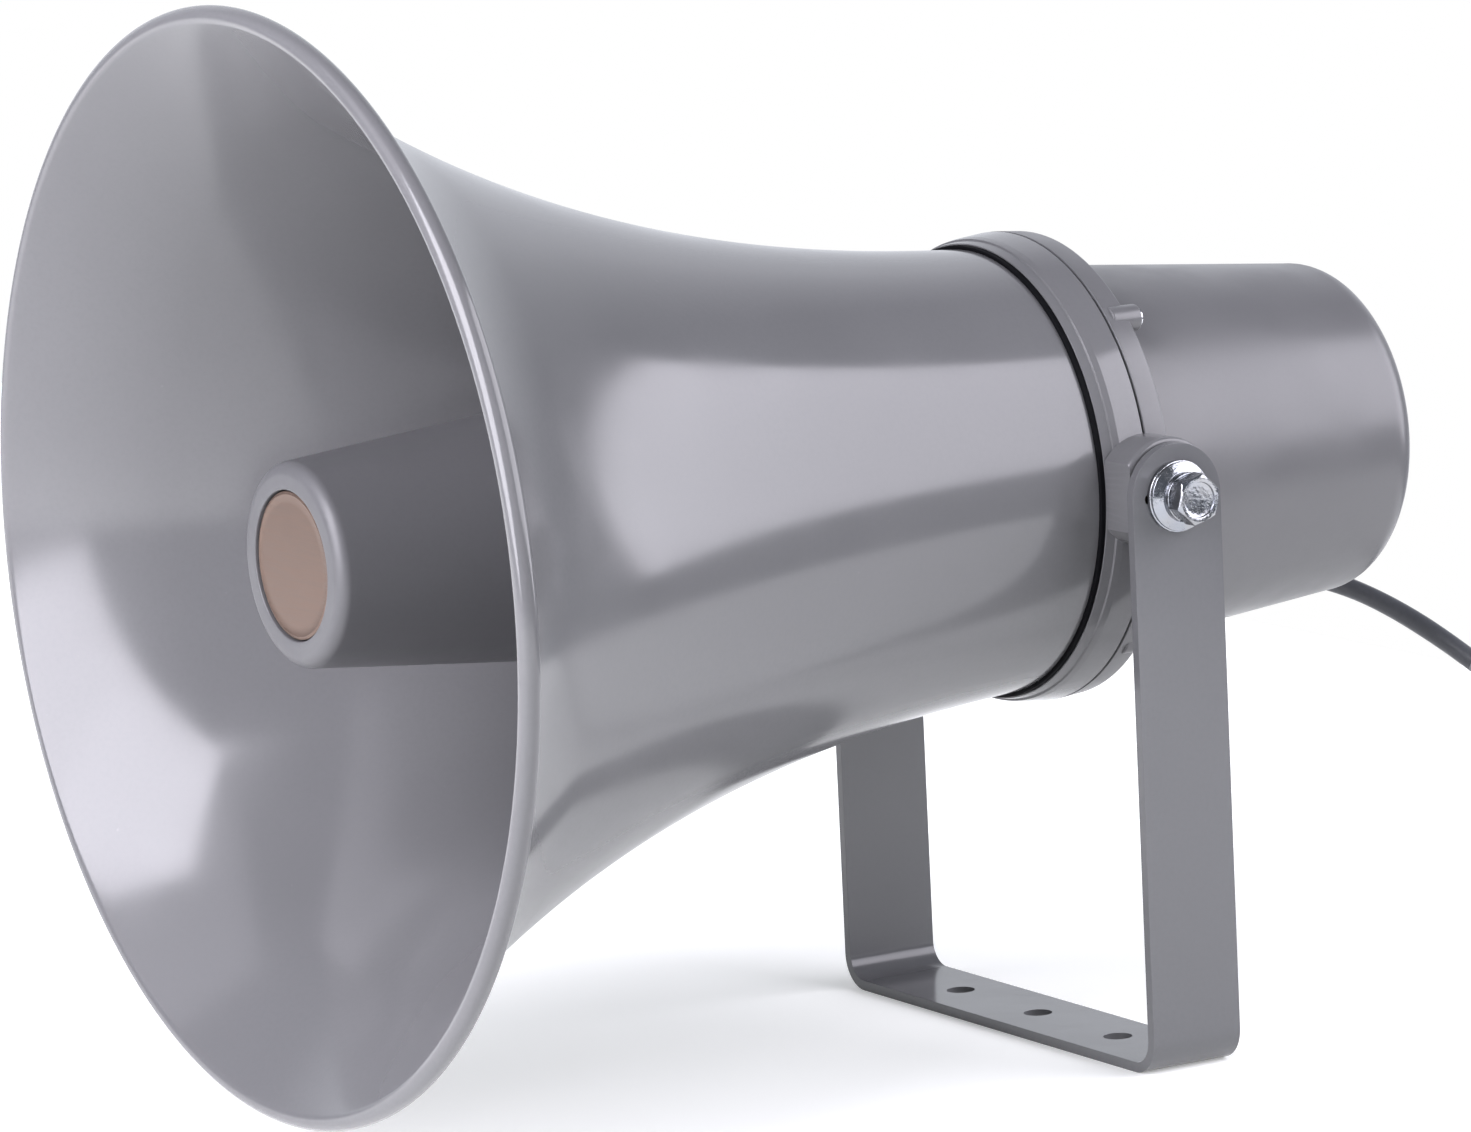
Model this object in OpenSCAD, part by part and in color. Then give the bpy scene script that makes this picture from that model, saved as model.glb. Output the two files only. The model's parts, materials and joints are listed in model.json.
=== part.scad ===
// Re-entrant horn loudspeaker on a U-shaped tilting bracket.
// Frame: origin at the centre of the bracket's underside, +Z up, mouth towards -Y,
// tilt axis along X. Horn parts are drawn along their own axis, with z = 0 on the
// tilt axis and +z towards the mouth, and on_horn_axis() puts them in place.

/* [Bracket] */
// Width over the two arms
bracket_w = 166; // [163:0.5:172]
// Width of the strip
strip_w = 30; // [26:0.5:34]
// Thickness of the strip
strip_t = 3; // [2:0.5:4]
// Height of the tilt axis above the underside
pivot_h = 166.5; // [160:0.5:200]
// Outside radius of the two bends
bend_r = 10; // [6:0.5:14]
// Distance between neighbouring base holes
base_hole_pitch = 42; // [30:0.5:50]
// Diameter of the base holes
base_hole_d = 8.5; // [5:0.5:10]
// Diameter of the pivot holes in the arms
arm_hole_d = 8.5; // [8.2:0.1:9.5]

/* [Bell] */
// Outside diameter of the bell where it enters the flange
bell_rear_d = 130.2; // [129:0.1:131]
// Share by which the sound passage grows for each millimetre along the axis
flare_rate = 0.01048; // [0.0095:0.0001:0.0108]
// Distance from the tilt axis to the end of the flare
flare_end = 252.7; // [245:0.1:256]
// Extra outward turn of the last stretch of the flare
lip_turn = 6; // [3:0.1:7]
// Thickness of the bell's sheet
sheet_t = 1.2; // [0.8:0.1:1.4]
// Outside radius of the rolled edge
bead_r = 3; // [2.4:0.1:3.6]

/* [Reflector] */
// Outside diameter of the reflector, its taper carried forward to the front face
reflector_d = 57.3; // [55:0.1:60]
// Distance from the tilt axis to the reflector's front face
reflector_front = 239.5; // [236:0.5:244]
// Length of the reflector
reflector_l = 181; // [150:1:185]
// Growth of the reflector's radius towards the rear for each millimetre
reflector_taper = 0.0977; // [0.08:0.001:0.11]
// Diameter of the front disc
badge_d = 41.5; // [36:0.5:44]

/* [Rear cover] */
// Outside diameter of the two flanges at their joint
flange_d = 138; // [137.4:0.2:139]
// Distance from the tilt axis back to the rear face
cover_l = 111; // [106:0.5:120]
// Outside diameter of the cover just behind its flange
cover_front_d = 116.4; // [115:0.2:118]
// Outside diameter of the cover before its rear corner
cover_rear_d = 98.8; // [97:0.2:104]
// Radius of the rear corner
cover_corner_r = 9.5; // [4:0.5:10]
// Wall of the cover
cover_wall = 2.6; // [2:0.1:3]

/* [Cable] */
// Diameter of the cable
cable_d = 6; // [5:0.1:6.4]
// Turn of the cable outlet from the lowest point, towards the left
outlet_turn = 30; // [24:1:31]

/* [Hidden] */
$fn = 96;

// Paint and metals
paint = [0.56, 0.56, 0.58];
paint_dark = [0.34, 0.34, 0.36];
zinc = [0.80, 0.81, 0.83];
black = [0.06, 0.06, 0.07];
steel = [0.55, 0.56, 0.58];

// Front flange, measured along the horn's axis
web_t = 5;
flange_front = 13;
band_front = 7.9;
chamfer_front = 10;
chamfer_r = 67.8;
lip_r = 67.3;
flange_r = flange_d / 2;
band_front_r = flange_r - 0.8;
bell_rear_r = bell_rear_d / 2;
seal_gap = 1.2;
socket_r = bell_rear_r + seal_gap;
gasket_t = 0.8;
gasket_inset = 0.8;

// Bell and its seal
bell_wall_rear = 12.6;
lip_start = 215;
bell_foot_r = 54;
bell_screw_at = 57.5;
seal_back = web_t + 4.2;
seal_front = flange_front + 1.6;
seal_fit = 0.15;

// Throat tube; the reflector stands on the hub at the tube's front end
throat_r = 9;
tube_wall = 2.2;
tube_foot_r = 31;
tube_foot_t = 3;
throat_screw_at = 26;
hub_front = reflector_front - 16.5;
hub_l = 8;
hub_r = 5.5;
hub_bore_r = 2.5;

// Reflector's front: a recess for the disc, with a floor behind it
reflector_recess = 3.7;
reflector_floor_t = 2.5;
reflector_screw_head_r = 5;
recess_face = reflector_front - reflector_recess;
badge_t = 2.9;

// Pivot stack, measured outwards from the arm
arm_in = bracket_w / 2 - strip_t;
arm_out = bracket_w / 2;
friction_t = 1;
boss_r = 16.3;
boss_face = arm_in - friction_t;
bolt_shank_r = 3.95;
insert_bore_r = 4;
insert_r = 5.6;
insert_l = boss_face - flange_r - 0.8;
flat_washer_r = 10.3;
flat_washer_t = 1.6;
cone_washer_r = 9.9;
cone_washer_t = 2.4;
lock_washer_r = 7.1;
lock_washer_t = 2;
hex_af = 13;
hex_h = 5.5;
bolt_reach = insert_l - 0.4;

// Rear cover
cover_flange_t = 7.8;
cover_flange_back = -gasket_t - cover_flange_t;
cover_flange_rear_r = flange_r - 0.7;
cover_front_r = cover_front_d / 2;
cover_rear_r = cover_rear_d / 2;
screw_boss_r = 4;
screw_boss_at = 65.6;
screw_boss_back = -12.8;
cover_screw_n = 4;
cover_screw_r = 1.5;

// Cable outlet block under the cover
outlet_w = 24;
outlet_r = 64;
outlet_back = -60;
outlet_nose = -66.5;
outlet_wall = 2.4;
hollow_in = 44;
hollow_out = outlet_r - outlet_wall;
hollow_back = outlet_back + 3;
cable_r = cable_d / 2;
cable_at = 58.5;
cable_hole_r = 4.4;
cable_inner_end = outlet_back + 16;
clamp_back = outlet_back + 8;
clamp_w = 6;
clamp_t = 2;
clamp_screw_at = 7.2;
clamp_screw_r = 1.4;

// Driver stack: each value is the distance of a face from the tilt axis
driver_r = 50;
driver_bore_r = 31;
plug_back = -5;
surround_front = -8.5;
surround_t = 0.5;
basket_back = -14;
plate_back = -20;
magnet_back = -36;
yoke_back = -42;
dome_r = 19.2;
coil_in_r = 18.3;
coil_out_r = 18.9;
pole_r = 17.6;
gap_r = 19.6;
driver_screw_at = 46.6;
block_t = 9;
block_y = 22;
block_h = 11;
terminal_pitch = 8;
terminal_r = 2.4;

// Transformer, measured from its own centre
core_w = 42;
core_h = 35;
core_t = 18;
core_mid = -cover_l + 30;
limb_w = 14;
window_w = 7;
window_h = 21;
winding_d = 34;
strap_t = 1.2;
strap_w = 16;
foot_face = -cover_l + 6;
foot_out = 33;
strap_screw_at = 28;

// Point p moved sideways by d from the line through its neighbours a and b
function beside(a, b, p, d) = p + d * [b[1] - a[1], a[0] - b[0]] / norm(b - a);

// Path of points moved sideways by d all along
function offset_path(path, d) = [
    for (i = [0:len(path) - 1])
        beside(path[max(i - 1, 0)], path[min(i + 1, len(path) - 1)], path[i], d)
];

// Closed outline of a sheet of thickness t that follows a path
function sheet(path, t) = concat(
    offset_path(path, t / 2),
    [for (i = [len(path) - 1:-1:0]) offset_path(path, -t / 2)[i]]
);

// Points of an arc in the profile plane
function arc(centre, r, from, to, steps) = [
    for (i = [0:steps])
        centre + r * [cos(from + (to - from) * i / steps), sin(from + (to - from) * i / steps)]
];

// Radius of the reflector's outside at distance z along the axis
function reflector_radius(z) =
    reflector_d / 2 + reflector_taper * (reflector_front - z);

// Growth of the passage between bell and reflector: its area rises exponentially
passage_start = pow(bell_rear_r, 2) - pow(reflector_radius(bell_wall_rear), 2);
function lip_at(z) =
    z > lip_start ? lip_turn * pow((z - lip_start) / (flare_end - lip_start), 2) : 0;
function bell_radius(z) = lip_at(z)
    + sqrt(passage_start * exp(flare_rate * (z - bell_wall_rear)) + pow(reflector_radius(z), 2));

// Point on a cubic curve with four control points
function bezier(p, t) = pow(1 - t, 3) * p[0] + 3 * t * pow(1 - t, 2) * p[1]
    + 3 * t * t * (1 - t) * p[2] + pow(t, 3) * p[3];

// Puts parts that are drawn along the horn's axis in place
module on_horn_axis() {
    translate([0, 0, pivot_h])
        rotate([90, 0, 0])
            children();
}

// Puts parts that are drawn along the tilt axis in place; side is 1 or -1
module on_tilt_axis(side) {
    translate([0, 0, pivot_h])
        rotate([0, 90 * side, 0])
            children();
}

// n copies around the axis at radius r, the first at angle start
module around(n, r, start) {
    for (i = [0:n - 1])
        rotate([0, 0, start + i * 360 / n])
            translate([r, 0, 0])
                children();
}

// Ring or tube between two distances along the axis
module ring(from, to, r_in, r_out) {
    difference() {
        translate([0, 0, from])
            cylinder(h = to - from, r = r_out);
        translate([0, 0, from - 1])
            cylinder(h = to - from + 2, r = r_in);
    }
}

// Pan-head screw: head above z = 0, shank below it, cross recess in the head
module pan_screw(shank_r, shank_l, head_r, head_h) {
    slot_w = head_r * 0.3;
    slot_l = head_r * 1.1;
    difference() {
        union() {
            cylinder(h = head_h * 0.6, r = head_r, $fn = 32);
            translate([0, 0, head_h * 0.6])
                cylinder(h = head_h * 0.4, r1 = head_r, r2 = head_r * 0.72, $fn = 32);
            translate([0, 0, -shank_l])
                cylinder(h = shank_l + 0.1, r = shank_r, $fn = 32);
        }
        for (turn = [0, 90])
            rotate([0, 0, turn])
                translate([-slot_l / 2, -slot_w / 2, head_h * 0.45])
                    cube([slot_l, slot_w, head_h]);
    }
}

// U-shaped strip with rounded arm ends, base holes and pivot holes
module bracket() {
    slot_w = 3;
    slot_reach = 10.9;
    color(paint)
    difference() {
        intersection() {
            translate([0, strip_w / 2, 0])
                rotate([90, 0, 0])
                    linear_extrude(strip_w)
                        difference() {
                            u_outline(bracket_w, bend_r, 0);
                            u_outline(bracket_w - 2 * strip_t, bend_r - strip_t, strip_t);
                        }
            translate([-bracket_w / 2 - 1, 0, 0])
                rotate([90, 0, 90])
                    linear_extrude(bracket_w + 2)
                        union() {
                            translate([-strip_w / 2, -1])
                                square([strip_w, pivot_h + 1]);
                            translate([0, pivot_h])
                                circle(r = strip_w / 2);
                        }
        }
        for (x = [-base_hole_pitch, 0, base_hole_pitch])
            translate([x, 0, -1])
                cylinder(h = strip_t + 2, d = base_hole_d, $fn = 48);
        for (side = [-1, 1])
            on_tilt_axis(side)
                translate([0, 0, arm_in - 1])
                    cylinder(h = strip_t + 2, d = arm_hole_d, $fn = 48);
        for (side = [-1, 1])
            translate([side * (arm_in + strip_t / 2), 0, pivot_h])
                locating_slot(slot_w, slot_reach);
    }
}

// Outline of the U seen from the front; its open end runs above the arms
module u_outline(w, r, floor) {
    top = pivot_h + strip_w;
    union() {
        translate([-w / 2 + r, floor])
            square([w - 2 * r, top - floor]);
        translate([-w / 2, floor + r])
            square([w, top - floor - r]);
        for (side = [-1, 1])
            translate([side * (w / 2 - r), floor + r])
                circle(r = r);
    }
}

// Narrow slot that runs forward from a pivot hole
module locating_slot(w, reach) {
    rotate([0, 90, 0])
        translate([0, 0, -strip_t])
            linear_extrude(2 * strip_t)
                union() {
                    translate([-w / 2, -reach + w / 2])
                        square([w, reach - w / 2]);
                    translate([0, -reach + w / 2])
                        circle(d = w, $fn = 32);
                }
}

// Spun bell with its exponential flare, inner foot and rolled edge
module bell() {
    steps = 30;
    flare = [
        for (i = [0:steps])
            let (z = bell_wall_rear + (flare_end - bell_wall_rear) * i / steps)
                [bell_radius(z) - sheet_t / 2, z]
    ];
    run = flare[steps] - flare[steps - 1];
    slope = atan2(run[1], run[0]);
    curl_r = bead_r - sheet_t / 2;
    curl_centre = flare[steps] + curl_r * [cos(slope - 90), sin(slope - 90)];
    curl = arc(curl_centre, curl_r, slope + 90, slope - 215, 20);
    foot_z = web_t + sheet_t / 2;
    corner_r = 3;
    wall_r = bell_rear_r - sheet_t / 2;
    corner = arc([wall_r - corner_r, foot_z + corner_r], corner_r, -90, 0, 6);
    path = concat([[bell_foot_r, foot_z]], corner, flare, [for (i = [1:20]) curl[i]]);
    color(paint)
    on_horn_axis()
        difference() {
            rotate_extrude($fn = 120)
                polygon(sheet(path, sheet_t));
            around(4, bell_screw_at, 45)
                translate([0, 0, web_t - 1])
                    cylinder(h = 4, r = 2.1, $fn = 32);
        }
}

// Rubber ring between the bell and the flange's socket
module bell_seal() {
    color(black)
    on_horn_axis()
        ring(seal_back, seal_front, bell_rear_r + seal_fit, socket_r);
}

// Four screws that hold the bell's foot to the flange
module bell_screws() {
    color(zinc)
    on_horn_axis()
        around(4, bell_screw_at, 45)
            translate([0, 0, web_t + sheet_t])
                pan_screw(2, sheet_t + web_t - 0.5, 3.6, 2.4);
}

// Cast flange with a socket for the bell and two pivot bosses
module front_flange() {
    color(paint)
    difference() {
        union() {
            on_horn_axis()
                difference() {
                    rotate_extrude($fn = 120)
                        polygon([
                            [0, 0], [flange_r, 0], [band_front_r, band_front],
                            [chamfer_r, chamfer_front - 0.2], [lip_r, chamfer_front],
                            [lip_r, flange_front - 0.4], [lip_r - 0.3, flange_front],
                            [0, flange_front]
                        ]);
                    translate([0, 0, web_t])
                        cylinder(h = flange_front, r = socket_r);
                }
            for (side = [-1, 1])
                pivot_boss(side);
        }
        on_horn_axis()
            flange_holes();
        for (side = [-1, 1])
            on_tilt_axis(side)
                translate([0, 0, boss_face - insert_l])
                    cylinder(h = insert_l + 1, r = insert_r, $fn = 48);
    }
}

// Round boss for a pivot bolt, flush with the flange's front; it stands clear of the rear flange
module pivot_boss(side) {
    difference() {
        on_tilt_axis(side)
            translate([0, 0, flange_r - 9])
                cylinder(h = boss_face - flange_r + 9, r = boss_r, $fn = 64);
        on_horn_axis() {
            translate([0, 0, web_t])
                cylinder(h = 2 * boss_r, r = socket_r);
            translate([0, 0, flange_front])
                cylinder(h = 2 * boss_r, r = boss_face + 1);
            translate([0, 0, -2 * boss_r])
                cylinder(h = 2 * boss_r, r = flange_r + 0.4);
        }
    }
}

// Throat, screw and driver holes in the flange's web
module flange_holes() {
    translate([0, 0, -1])
        cylinder(h = web_t + 2, r = throat_r, $fn = 64);
    around(4, bell_screw_at, 45)
        translate([0, 0, 0.5])
            cylinder(h = web_t, r = 2, $fn = 32);
    around(4, throat_screw_at, 0)
        translate([0, 0, 0.5])
            cylinder(h = web_t, r = 2, $fn = 32);
    around(4, driver_screw_at, 0)
        translate([0, 0, -1])
            cylinder(h = web_t, r = 2, $fn = 32);
    around(cover_screw_n, screw_boss_at, 45)
        translate([0, 0, -1])
            cylinder(h = web_t, r = cover_screw_r, $fn = 32);
}

// Thin gasket between the two flanges
module flange_gasket() {
    color(black)
    on_horn_axis()
        difference() {
            ring(-gasket_t, 0, 57, flange_r - gasket_inset);
            around(cover_screw_n, screw_boss_at, 45)
                translate([0, 0, -gasket_t - 1])
                    cylinder(h = gasket_t + 2, r = cover_screw_r, $fn = 32);
        }
}

// Rear cover: tapered shell, flange, screw bosses and cable outlet
module rear_cover() {
    color(paint)
    on_horn_axis()
        difference() {
            union() {
                cover_body(0);
                rotate_extrude($fn = 120)
                    polygon([
                        [50, -gasket_t], [flange_r, -gasket_t],
                        [cover_flange_rear_r, cover_flange_back], [50, cover_flange_back]
                    ]);
                around(cover_screw_n, screw_boss_at, 45)
                    translate([0, 0, screw_boss_back])
                        cylinder(h = -gasket_t - screw_boss_back, r = screw_boss_r, $fn = 48);
                outlet_block();
            }
            cover_body(cover_wall);
            outlet_hollow();
            around(cover_screw_n, screw_boss_at, 45)
                translate([0, 0, screw_boss_back - 1])
                    cylinder(h = -screw_boss_back + 2, r = cover_screw_r, $fn = 32);
        }
    color(paint)
    on_horn_axis()
        for (side = [-1, 1])
            translate([side * strap_screw_at, 0, -cover_l + cover_wall - 0.5])
                strap_post();
}

// Solid of revolution inside the cover's outline, set in by a wall
module cover_body(inset) {
    front = inset > 0 ? 1 : -gasket_t;
    corner = [cover_rear_r - cover_corner_r, -cover_l + cover_corner_r];
    rotate_extrude($fn = 120)
        polygon(concat(
            [[0, front], [cover_front_r - inset, front],
             [cover_front_r - inset, cover_flange_back]],
            arc(corner, cover_corner_r - inset, 0, -90, 8),
            [[0, -cover_l + inset]]
        ));
}

// Post on the rear wall for a transformer screw
module strap_post() {
    difference() {
        cylinder(h = foot_face + cover_l - cover_wall + 0.5, r = 4.5, $fn = 48);
        translate([0, 0, 1])
            cylinder(h = 20, r = 1.6, $fn = 32);
    }
}

// Turns children to the cable outlet; local x then points outwards
module at_outlet() {
    rotate([0, 0, -90 - outlet_turn])
        children();
}

// Block under the cover that the cable leaves through
module outlet_block() {
    at_outlet()
        translate([0, outlet_w / 2, 0])
            rotate([90, 0, 0])
                linear_extrude(outlet_w)
                    polygon([
                        [50, cover_flange_back + 1], [outlet_r, cover_flange_back + 1],
                        [outlet_r, outlet_back], [outlet_r - 0.9, outlet_back - 2],
                        [50, outlet_nose - 6]
                    ]);
}

// Hollow of the outlet block, the grommet's hole and the saddle's screw hole
module outlet_hollow() {
    at_outlet() {
        translate([hollow_in, -outlet_w / 2 + outlet_wall, hollow_back])
            cube([hollow_out - hollow_in, outlet_w - 2 * outlet_wall, 36]);
        translate([cable_at, 0, outlet_nose - 8])
            cylinder(h = hollow_back - outlet_nose + 9, r = cable_hole_r, $fn = 48);
        translate([cable_at, clamp_screw_at, clamp_back + clamp_w / 2])
            rotate([0, 90, 0])
                cylinder(h = outlet_r - cable_at - 0.4, r = clamp_screw_r, $fn = 32);
    }
}

// Four pan-head screws through the cover into the flange
module cover_screws() {
    color(zinc)
    on_horn_axis()
        around(cover_screw_n, screw_boss_at, 45)
            translate([0, 0, screw_boss_back])
                rotate([180, 0, 0])
                    pan_screw(cover_screw_r, -screw_boss_back + 3, 2.8, 2);
}

// Throat tube that carries the sound forward from the driver
module throat_tube() {
    steps = 8;
    foot_front = web_t + tube_foot_t;
    mid_r = throat_r + tube_wall / 2;
    flare = [
        for (i = [1:steps])
            let (z = foot_front + (hub_front - foot_front) * i / steps)
                [throat_r * pow(2, i / steps) + tube_wall / 2, z]
    ];
    path = concat([[mid_r, web_t], [mid_r, foot_front]], flare);
    color(paint_dark)
    on_horn_axis()
        difference() {
            union() {
                rotate_extrude($fn = 96)
                    polygon(sheet(path, tube_wall));
                ring(web_t, foot_front, throat_r + 0.5, tube_foot_r);
                ring(hub_front - hub_l, hub_front, hub_bore_r, hub_r);
                for (turn = [90, 210, 330])
                    rotate([0, 0, turn])
                        translate([hub_r - 1, -1, hub_front - hub_l])
                            cube([14, 2, hub_l - 1]);
            }
            around(4, throat_screw_at, 0)
                translate([0, 0, web_t - 1])
                    cylinder(h = tube_foot_t + 2, r = 2.1, $fn = 32);
        }
}

// Four screws that hold the throat tube's foot
module throat_screws() {
    color(zinc)
    on_horn_axis()
        around(4, throat_screw_at, 0)
            translate([0, 0, web_t + tube_foot_t])
                pan_screw(2, tube_foot_t + web_t - 0.5, 3.6, 2.4);
}

// Reflector: a cup that turns the sound back; its taper widens to the rear
module reflector() {
    wall = 2;
    edge_r = 4;
    recess_r = badge_d / 2 + 0.4;
    rear = reflector_front - reflector_l;
    edge_z = reflector_front - edge_r;
    floor_z = recess_face - reflector_floor_t;
    inner_front = reflector_radius(floor_z) - wall;
    color(paint_dark)
    on_horn_axis()
        difference() {
            union() {
                rotate_extrude($fn = 96)
                    polygon(concat(
                        [[recess_r, floor_z], [recess_r, reflector_front]],
                        arc([reflector_radius(edge_z) - edge_r, edge_z], edge_r, 90, 0, 8),
                        [[reflector_radius(rear), rear], [reflector_radius(rear) - wall, rear],
                         [inner_front, floor_z - 3], [inner_front - 3, floor_z]]
                    ));
                translate([0, 0, floor_z])
                    cylinder(h = reflector_floor_t, r = recess_r + 0.6);
                translate([0, 0, hub_front])
                    cylinder(h = floor_z - hub_front + 0.5, r = hub_r, $fn = 48);
            }
            reflector_screw_body(hub_front - 1);
        }
}

// Countersunk head under the disc and plain shank back to a distance on the axis
module reflector_screw_body(back) {
    translate([0, 0, recess_face - reflector_floor_t])
        cylinder(h = reflector_floor_t, r1 = hub_bore_r, r2 = reflector_screw_head_r, $fn = 48);
    translate([0, 0, back])
        cylinder(h = recess_face - back - 1, r = hub_bore_r, $fn = 48);
}

// Countersunk screw that ties the reflector to the throat tube
module reflector_screw() {
    slot_l = 5.2;
    slot_w = 1.2;
    color(zinc)
    on_horn_axis()
        difference() {
            reflector_screw_body(hub_front - hub_l + 1);
            for (turn = [0, 90])
                rotate([0, 0, turn])
                    translate([-slot_l / 2, -slot_w / 2, recess_face - 1.4])
                        cube([slot_l, slot_w, 2]);
        }
}

// Plain disc that covers the reflector's screw
module badge_disc() {
    top = recess_face + badge_t;
    color([0.60, 0.46, 0.36])
    on_horn_axis()
        rotate_extrude($fn = 96)
            polygon([
                [0, recess_face], [badge_d / 2, recess_face], [badge_d / 2, top - 0.4],
                [badge_d / 2 - 0.6, top], [0, top]
            ]);
}

// Plate with a central bullet that leads the sound into the throat
module phase_plug() {
    color(black)
    on_horn_axis()
        difference() {
            union() {
                ring(plug_back, 0, throat_r, driver_r);
                translate([0, 0, plug_back])
                    cylinder(h = 4.8, r1 = 5.5, r2 = 1.5, $fn = 48);
                for (turn = [30, 150, 270])
                    rotate([0, 0, turn])
                        translate([3, -0.8, plug_back])
                            cube([throat_r - 2.5, 1.6, 2.5]);
            }
            driver_screw_holes();
        }
}

// Clearance holes for the driver's four long screws
module driver_screw_holes() {
    around(4, driver_screw_at, 0)
        translate([0, 0, plate_back - 1])
            cylinder(h = 24, r = 2, $fn = 32);
}

// Ring that clamps the surround's rim from the front
module clamp_ring() {
    color(black)
    on_horn_axis()
        difference() {
            ring(surround_front, plug_back, driver_bore_r, driver_r);
            driver_screw_holes();
        }
}

// Flexible ring between the diaphragm and the basket
module surround() {
    mid = surround_front - surround_t / 2;
    roll_r = 3.4;
    roll_at = 25.2;
    path = concat(
        [[dome_r + 0.2, mid], [roll_at - roll_r - 0.6, mid]],
        arc([roll_at, mid], roll_r, 180, 0, 12),
        [[roll_at + roll_r + 0.6, mid], [driver_r, mid]]
    );
    color([0.75, 0.70, 0.55])
    on_horn_axis()
        difference() {
            rotate_extrude($fn = 96)
                polygon(sheet(path, surround_t));
            driver_screw_holes();
        }
}

// Domed diaphragm
module diaphragm() {
    rim = surround_front - surround_t;
    rise = 3;
    ball_r = (dome_r * dome_r + rise * rise) / (2 * rise);
    span = asin(coil_out_r / ball_r);
    path = arc([0, rim + 0.2 + rise - ball_r], ball_r, 90, 90 - span, 8);
    color([0.70, 0.71, 0.74])
    on_horn_axis()
        rotate_extrude($fn = 96)
            polygon(concat(
                [for (p = path) p + [0, 0.15]],
                [[dome_r, rim + 0.5], [dome_r, rim], [coil_in_r, rim]],
                [for (i = [8:-1:0]) path[i] - [0, 0.15]]
            ));
}

// Voice coil on its former, in the magnet's gap
module voice_coil() {
    color([0.72, 0.40, 0.22])
    on_horn_axis()
        ring(-22, surround_front - surround_t, coil_in_r, coil_out_r);
}

// Ring that spaces the surround from the magnet's front plate
module basket_ring() {
    color(black)
    on_horn_axis()
        difference() {
            ring(basket_back, surround_front - surround_t, driver_bore_r, driver_r);
            driver_screw_holes();
        }
}

// Steel front plate of the magnet
module top_plate() {
    color(steel)
    on_horn_axis()
        difference() {
            ring(plate_back, basket_back, gap_r, driver_r);
            driver_screw_holes();
        }
}

// Ferrite ring
module magnet() {
    color([0.16, 0.16, 0.17])
    on_horn_axis()
        ring(magnet_back, plate_back, 24, 42.5);
}

// Steel back plate with its pole
module pole_yoke() {
    color(steel)
    on_horn_axis()
        union() {
            translate([0, 0, yoke_back])
                cylinder(h = magnet_back - yoke_back, r = 41);
            translate([0, 0, magnet_back - 0.5])
                cylinder(h = basket_back - magnet_back + 0.5, r = pole_r);
        }
}

// Four long screws that hold the driver to the flange
module driver_screws() {
    color(zinc)
    on_horn_axis()
        around(4, driver_screw_at, 0)
            translate([0, 0, plate_back])
                rotate([180, 0, 0])
                    pan_screw(2, -plate_back + web_t - 1, 3.4, 2.6);
}

// Stack of laminations with two windows
module transformer_core() {
    color([0.30, 0.31, 0.33])
    on_horn_axis()
        translate([0, 0, core_mid])
            difference() {
                cube([core_w, core_h, core_t], center = true);
                for (side = [-1, 1])
                    translate([side * (limb_w + window_w) / 2, 0, 0])
                        cube([window_w, window_h, core_t + 2], center = true);
            }
}

// Bobbin and winding around the core's middle limb
module transformer_winding() {
    color([0.62, 0.34, 0.16])
    on_horn_axis()
        translate([0, 0, core_mid])
            difference() {
                cube([limb_w + 2 * window_w, window_h, winding_d], center = true);
                cube([limb_w, window_h + 2, core_t], center = true);
            }
}

// Strap that holds the core to the cover's rear wall
module transformer_strap() {
    side_x = core_w / 2;
    front_z = core_mid + core_t / 2;
    color(zinc)
    on_horn_axis()
        difference() {
            for (side = [-1, 1])
                mirror([side < 0 ? 1 : 0, 0, 0])
                    union() {
                        translate([side_x, -strap_w / 2, foot_face])
                            cube([strap_t, strap_w, front_z - foot_face + strap_t]);
                        translate([side_x - 5, -strap_w / 2, front_z])
                            cube([5 + strap_t, strap_w, strap_t]);
                        translate([side_x, -strap_w / 2, foot_face])
                            cube([foot_out - side_x, strap_w, strap_t]);
                    }
            for (side = [-1, 1])
                translate([side * strap_screw_at, 0, foot_face - 1])
                    cylinder(h = 4, r = 1.8, $fn = 32);
        }
}

// Two screws that hold the strap's feet
module strap_screws() {
    color(zinc)
    on_horn_axis()
        for (side = [-1, 1])
            translate([side * strap_screw_at, 0, foot_face + strap_t])
                pan_screw(1.6, 3.4, 3, 2);
}

// Places on the back of the terminal block, one for each screw
module at_terminals() {
    for (i = [-1, 0, 1])
        translate([i * terminal_pitch, block_y + block_h / 2, yoke_back - block_t])
            children();
}

// Insulating block for the wire joints, on the back of the yoke
module terminal_block() {
    color([0.10, 0.10, 0.11])
    on_horn_axis()
        difference() {
            translate([-1.5 * terminal_pitch, block_y, yoke_back - block_t])
                cube([3 * terminal_pitch, block_h, block_t]);
            at_terminals()
                translate([0, 0, -1])
                    cylinder(h = 6, r = terminal_r, $fn = 32);
        }
}

// Three clamp screws in the terminal block
module terminal_screws() {
    color([0.80, 0.66, 0.34])
    on_horn_axis()
        at_terminals()
            difference() {
                translate([0, 0, 1])
                    cylinder(h = 4, r = terminal_r, $fn = 32);
                translate([-terminal_r - 1, -0.4, 0])
                    cube([2 * terminal_r + 2, 0.8, 2]);
            }
}

// Curved round wire through four control points
module wire(p, r, steps, sides) {
    for (i = [0:steps - 1])
        hull() {
            translate(bezier(p, i / steps))
                sphere(r = r, $fn = sides);
            translate(bezier(p, (i + 1) / steps))
                sphere(r = r, $fn = sides);
        }
}

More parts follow.
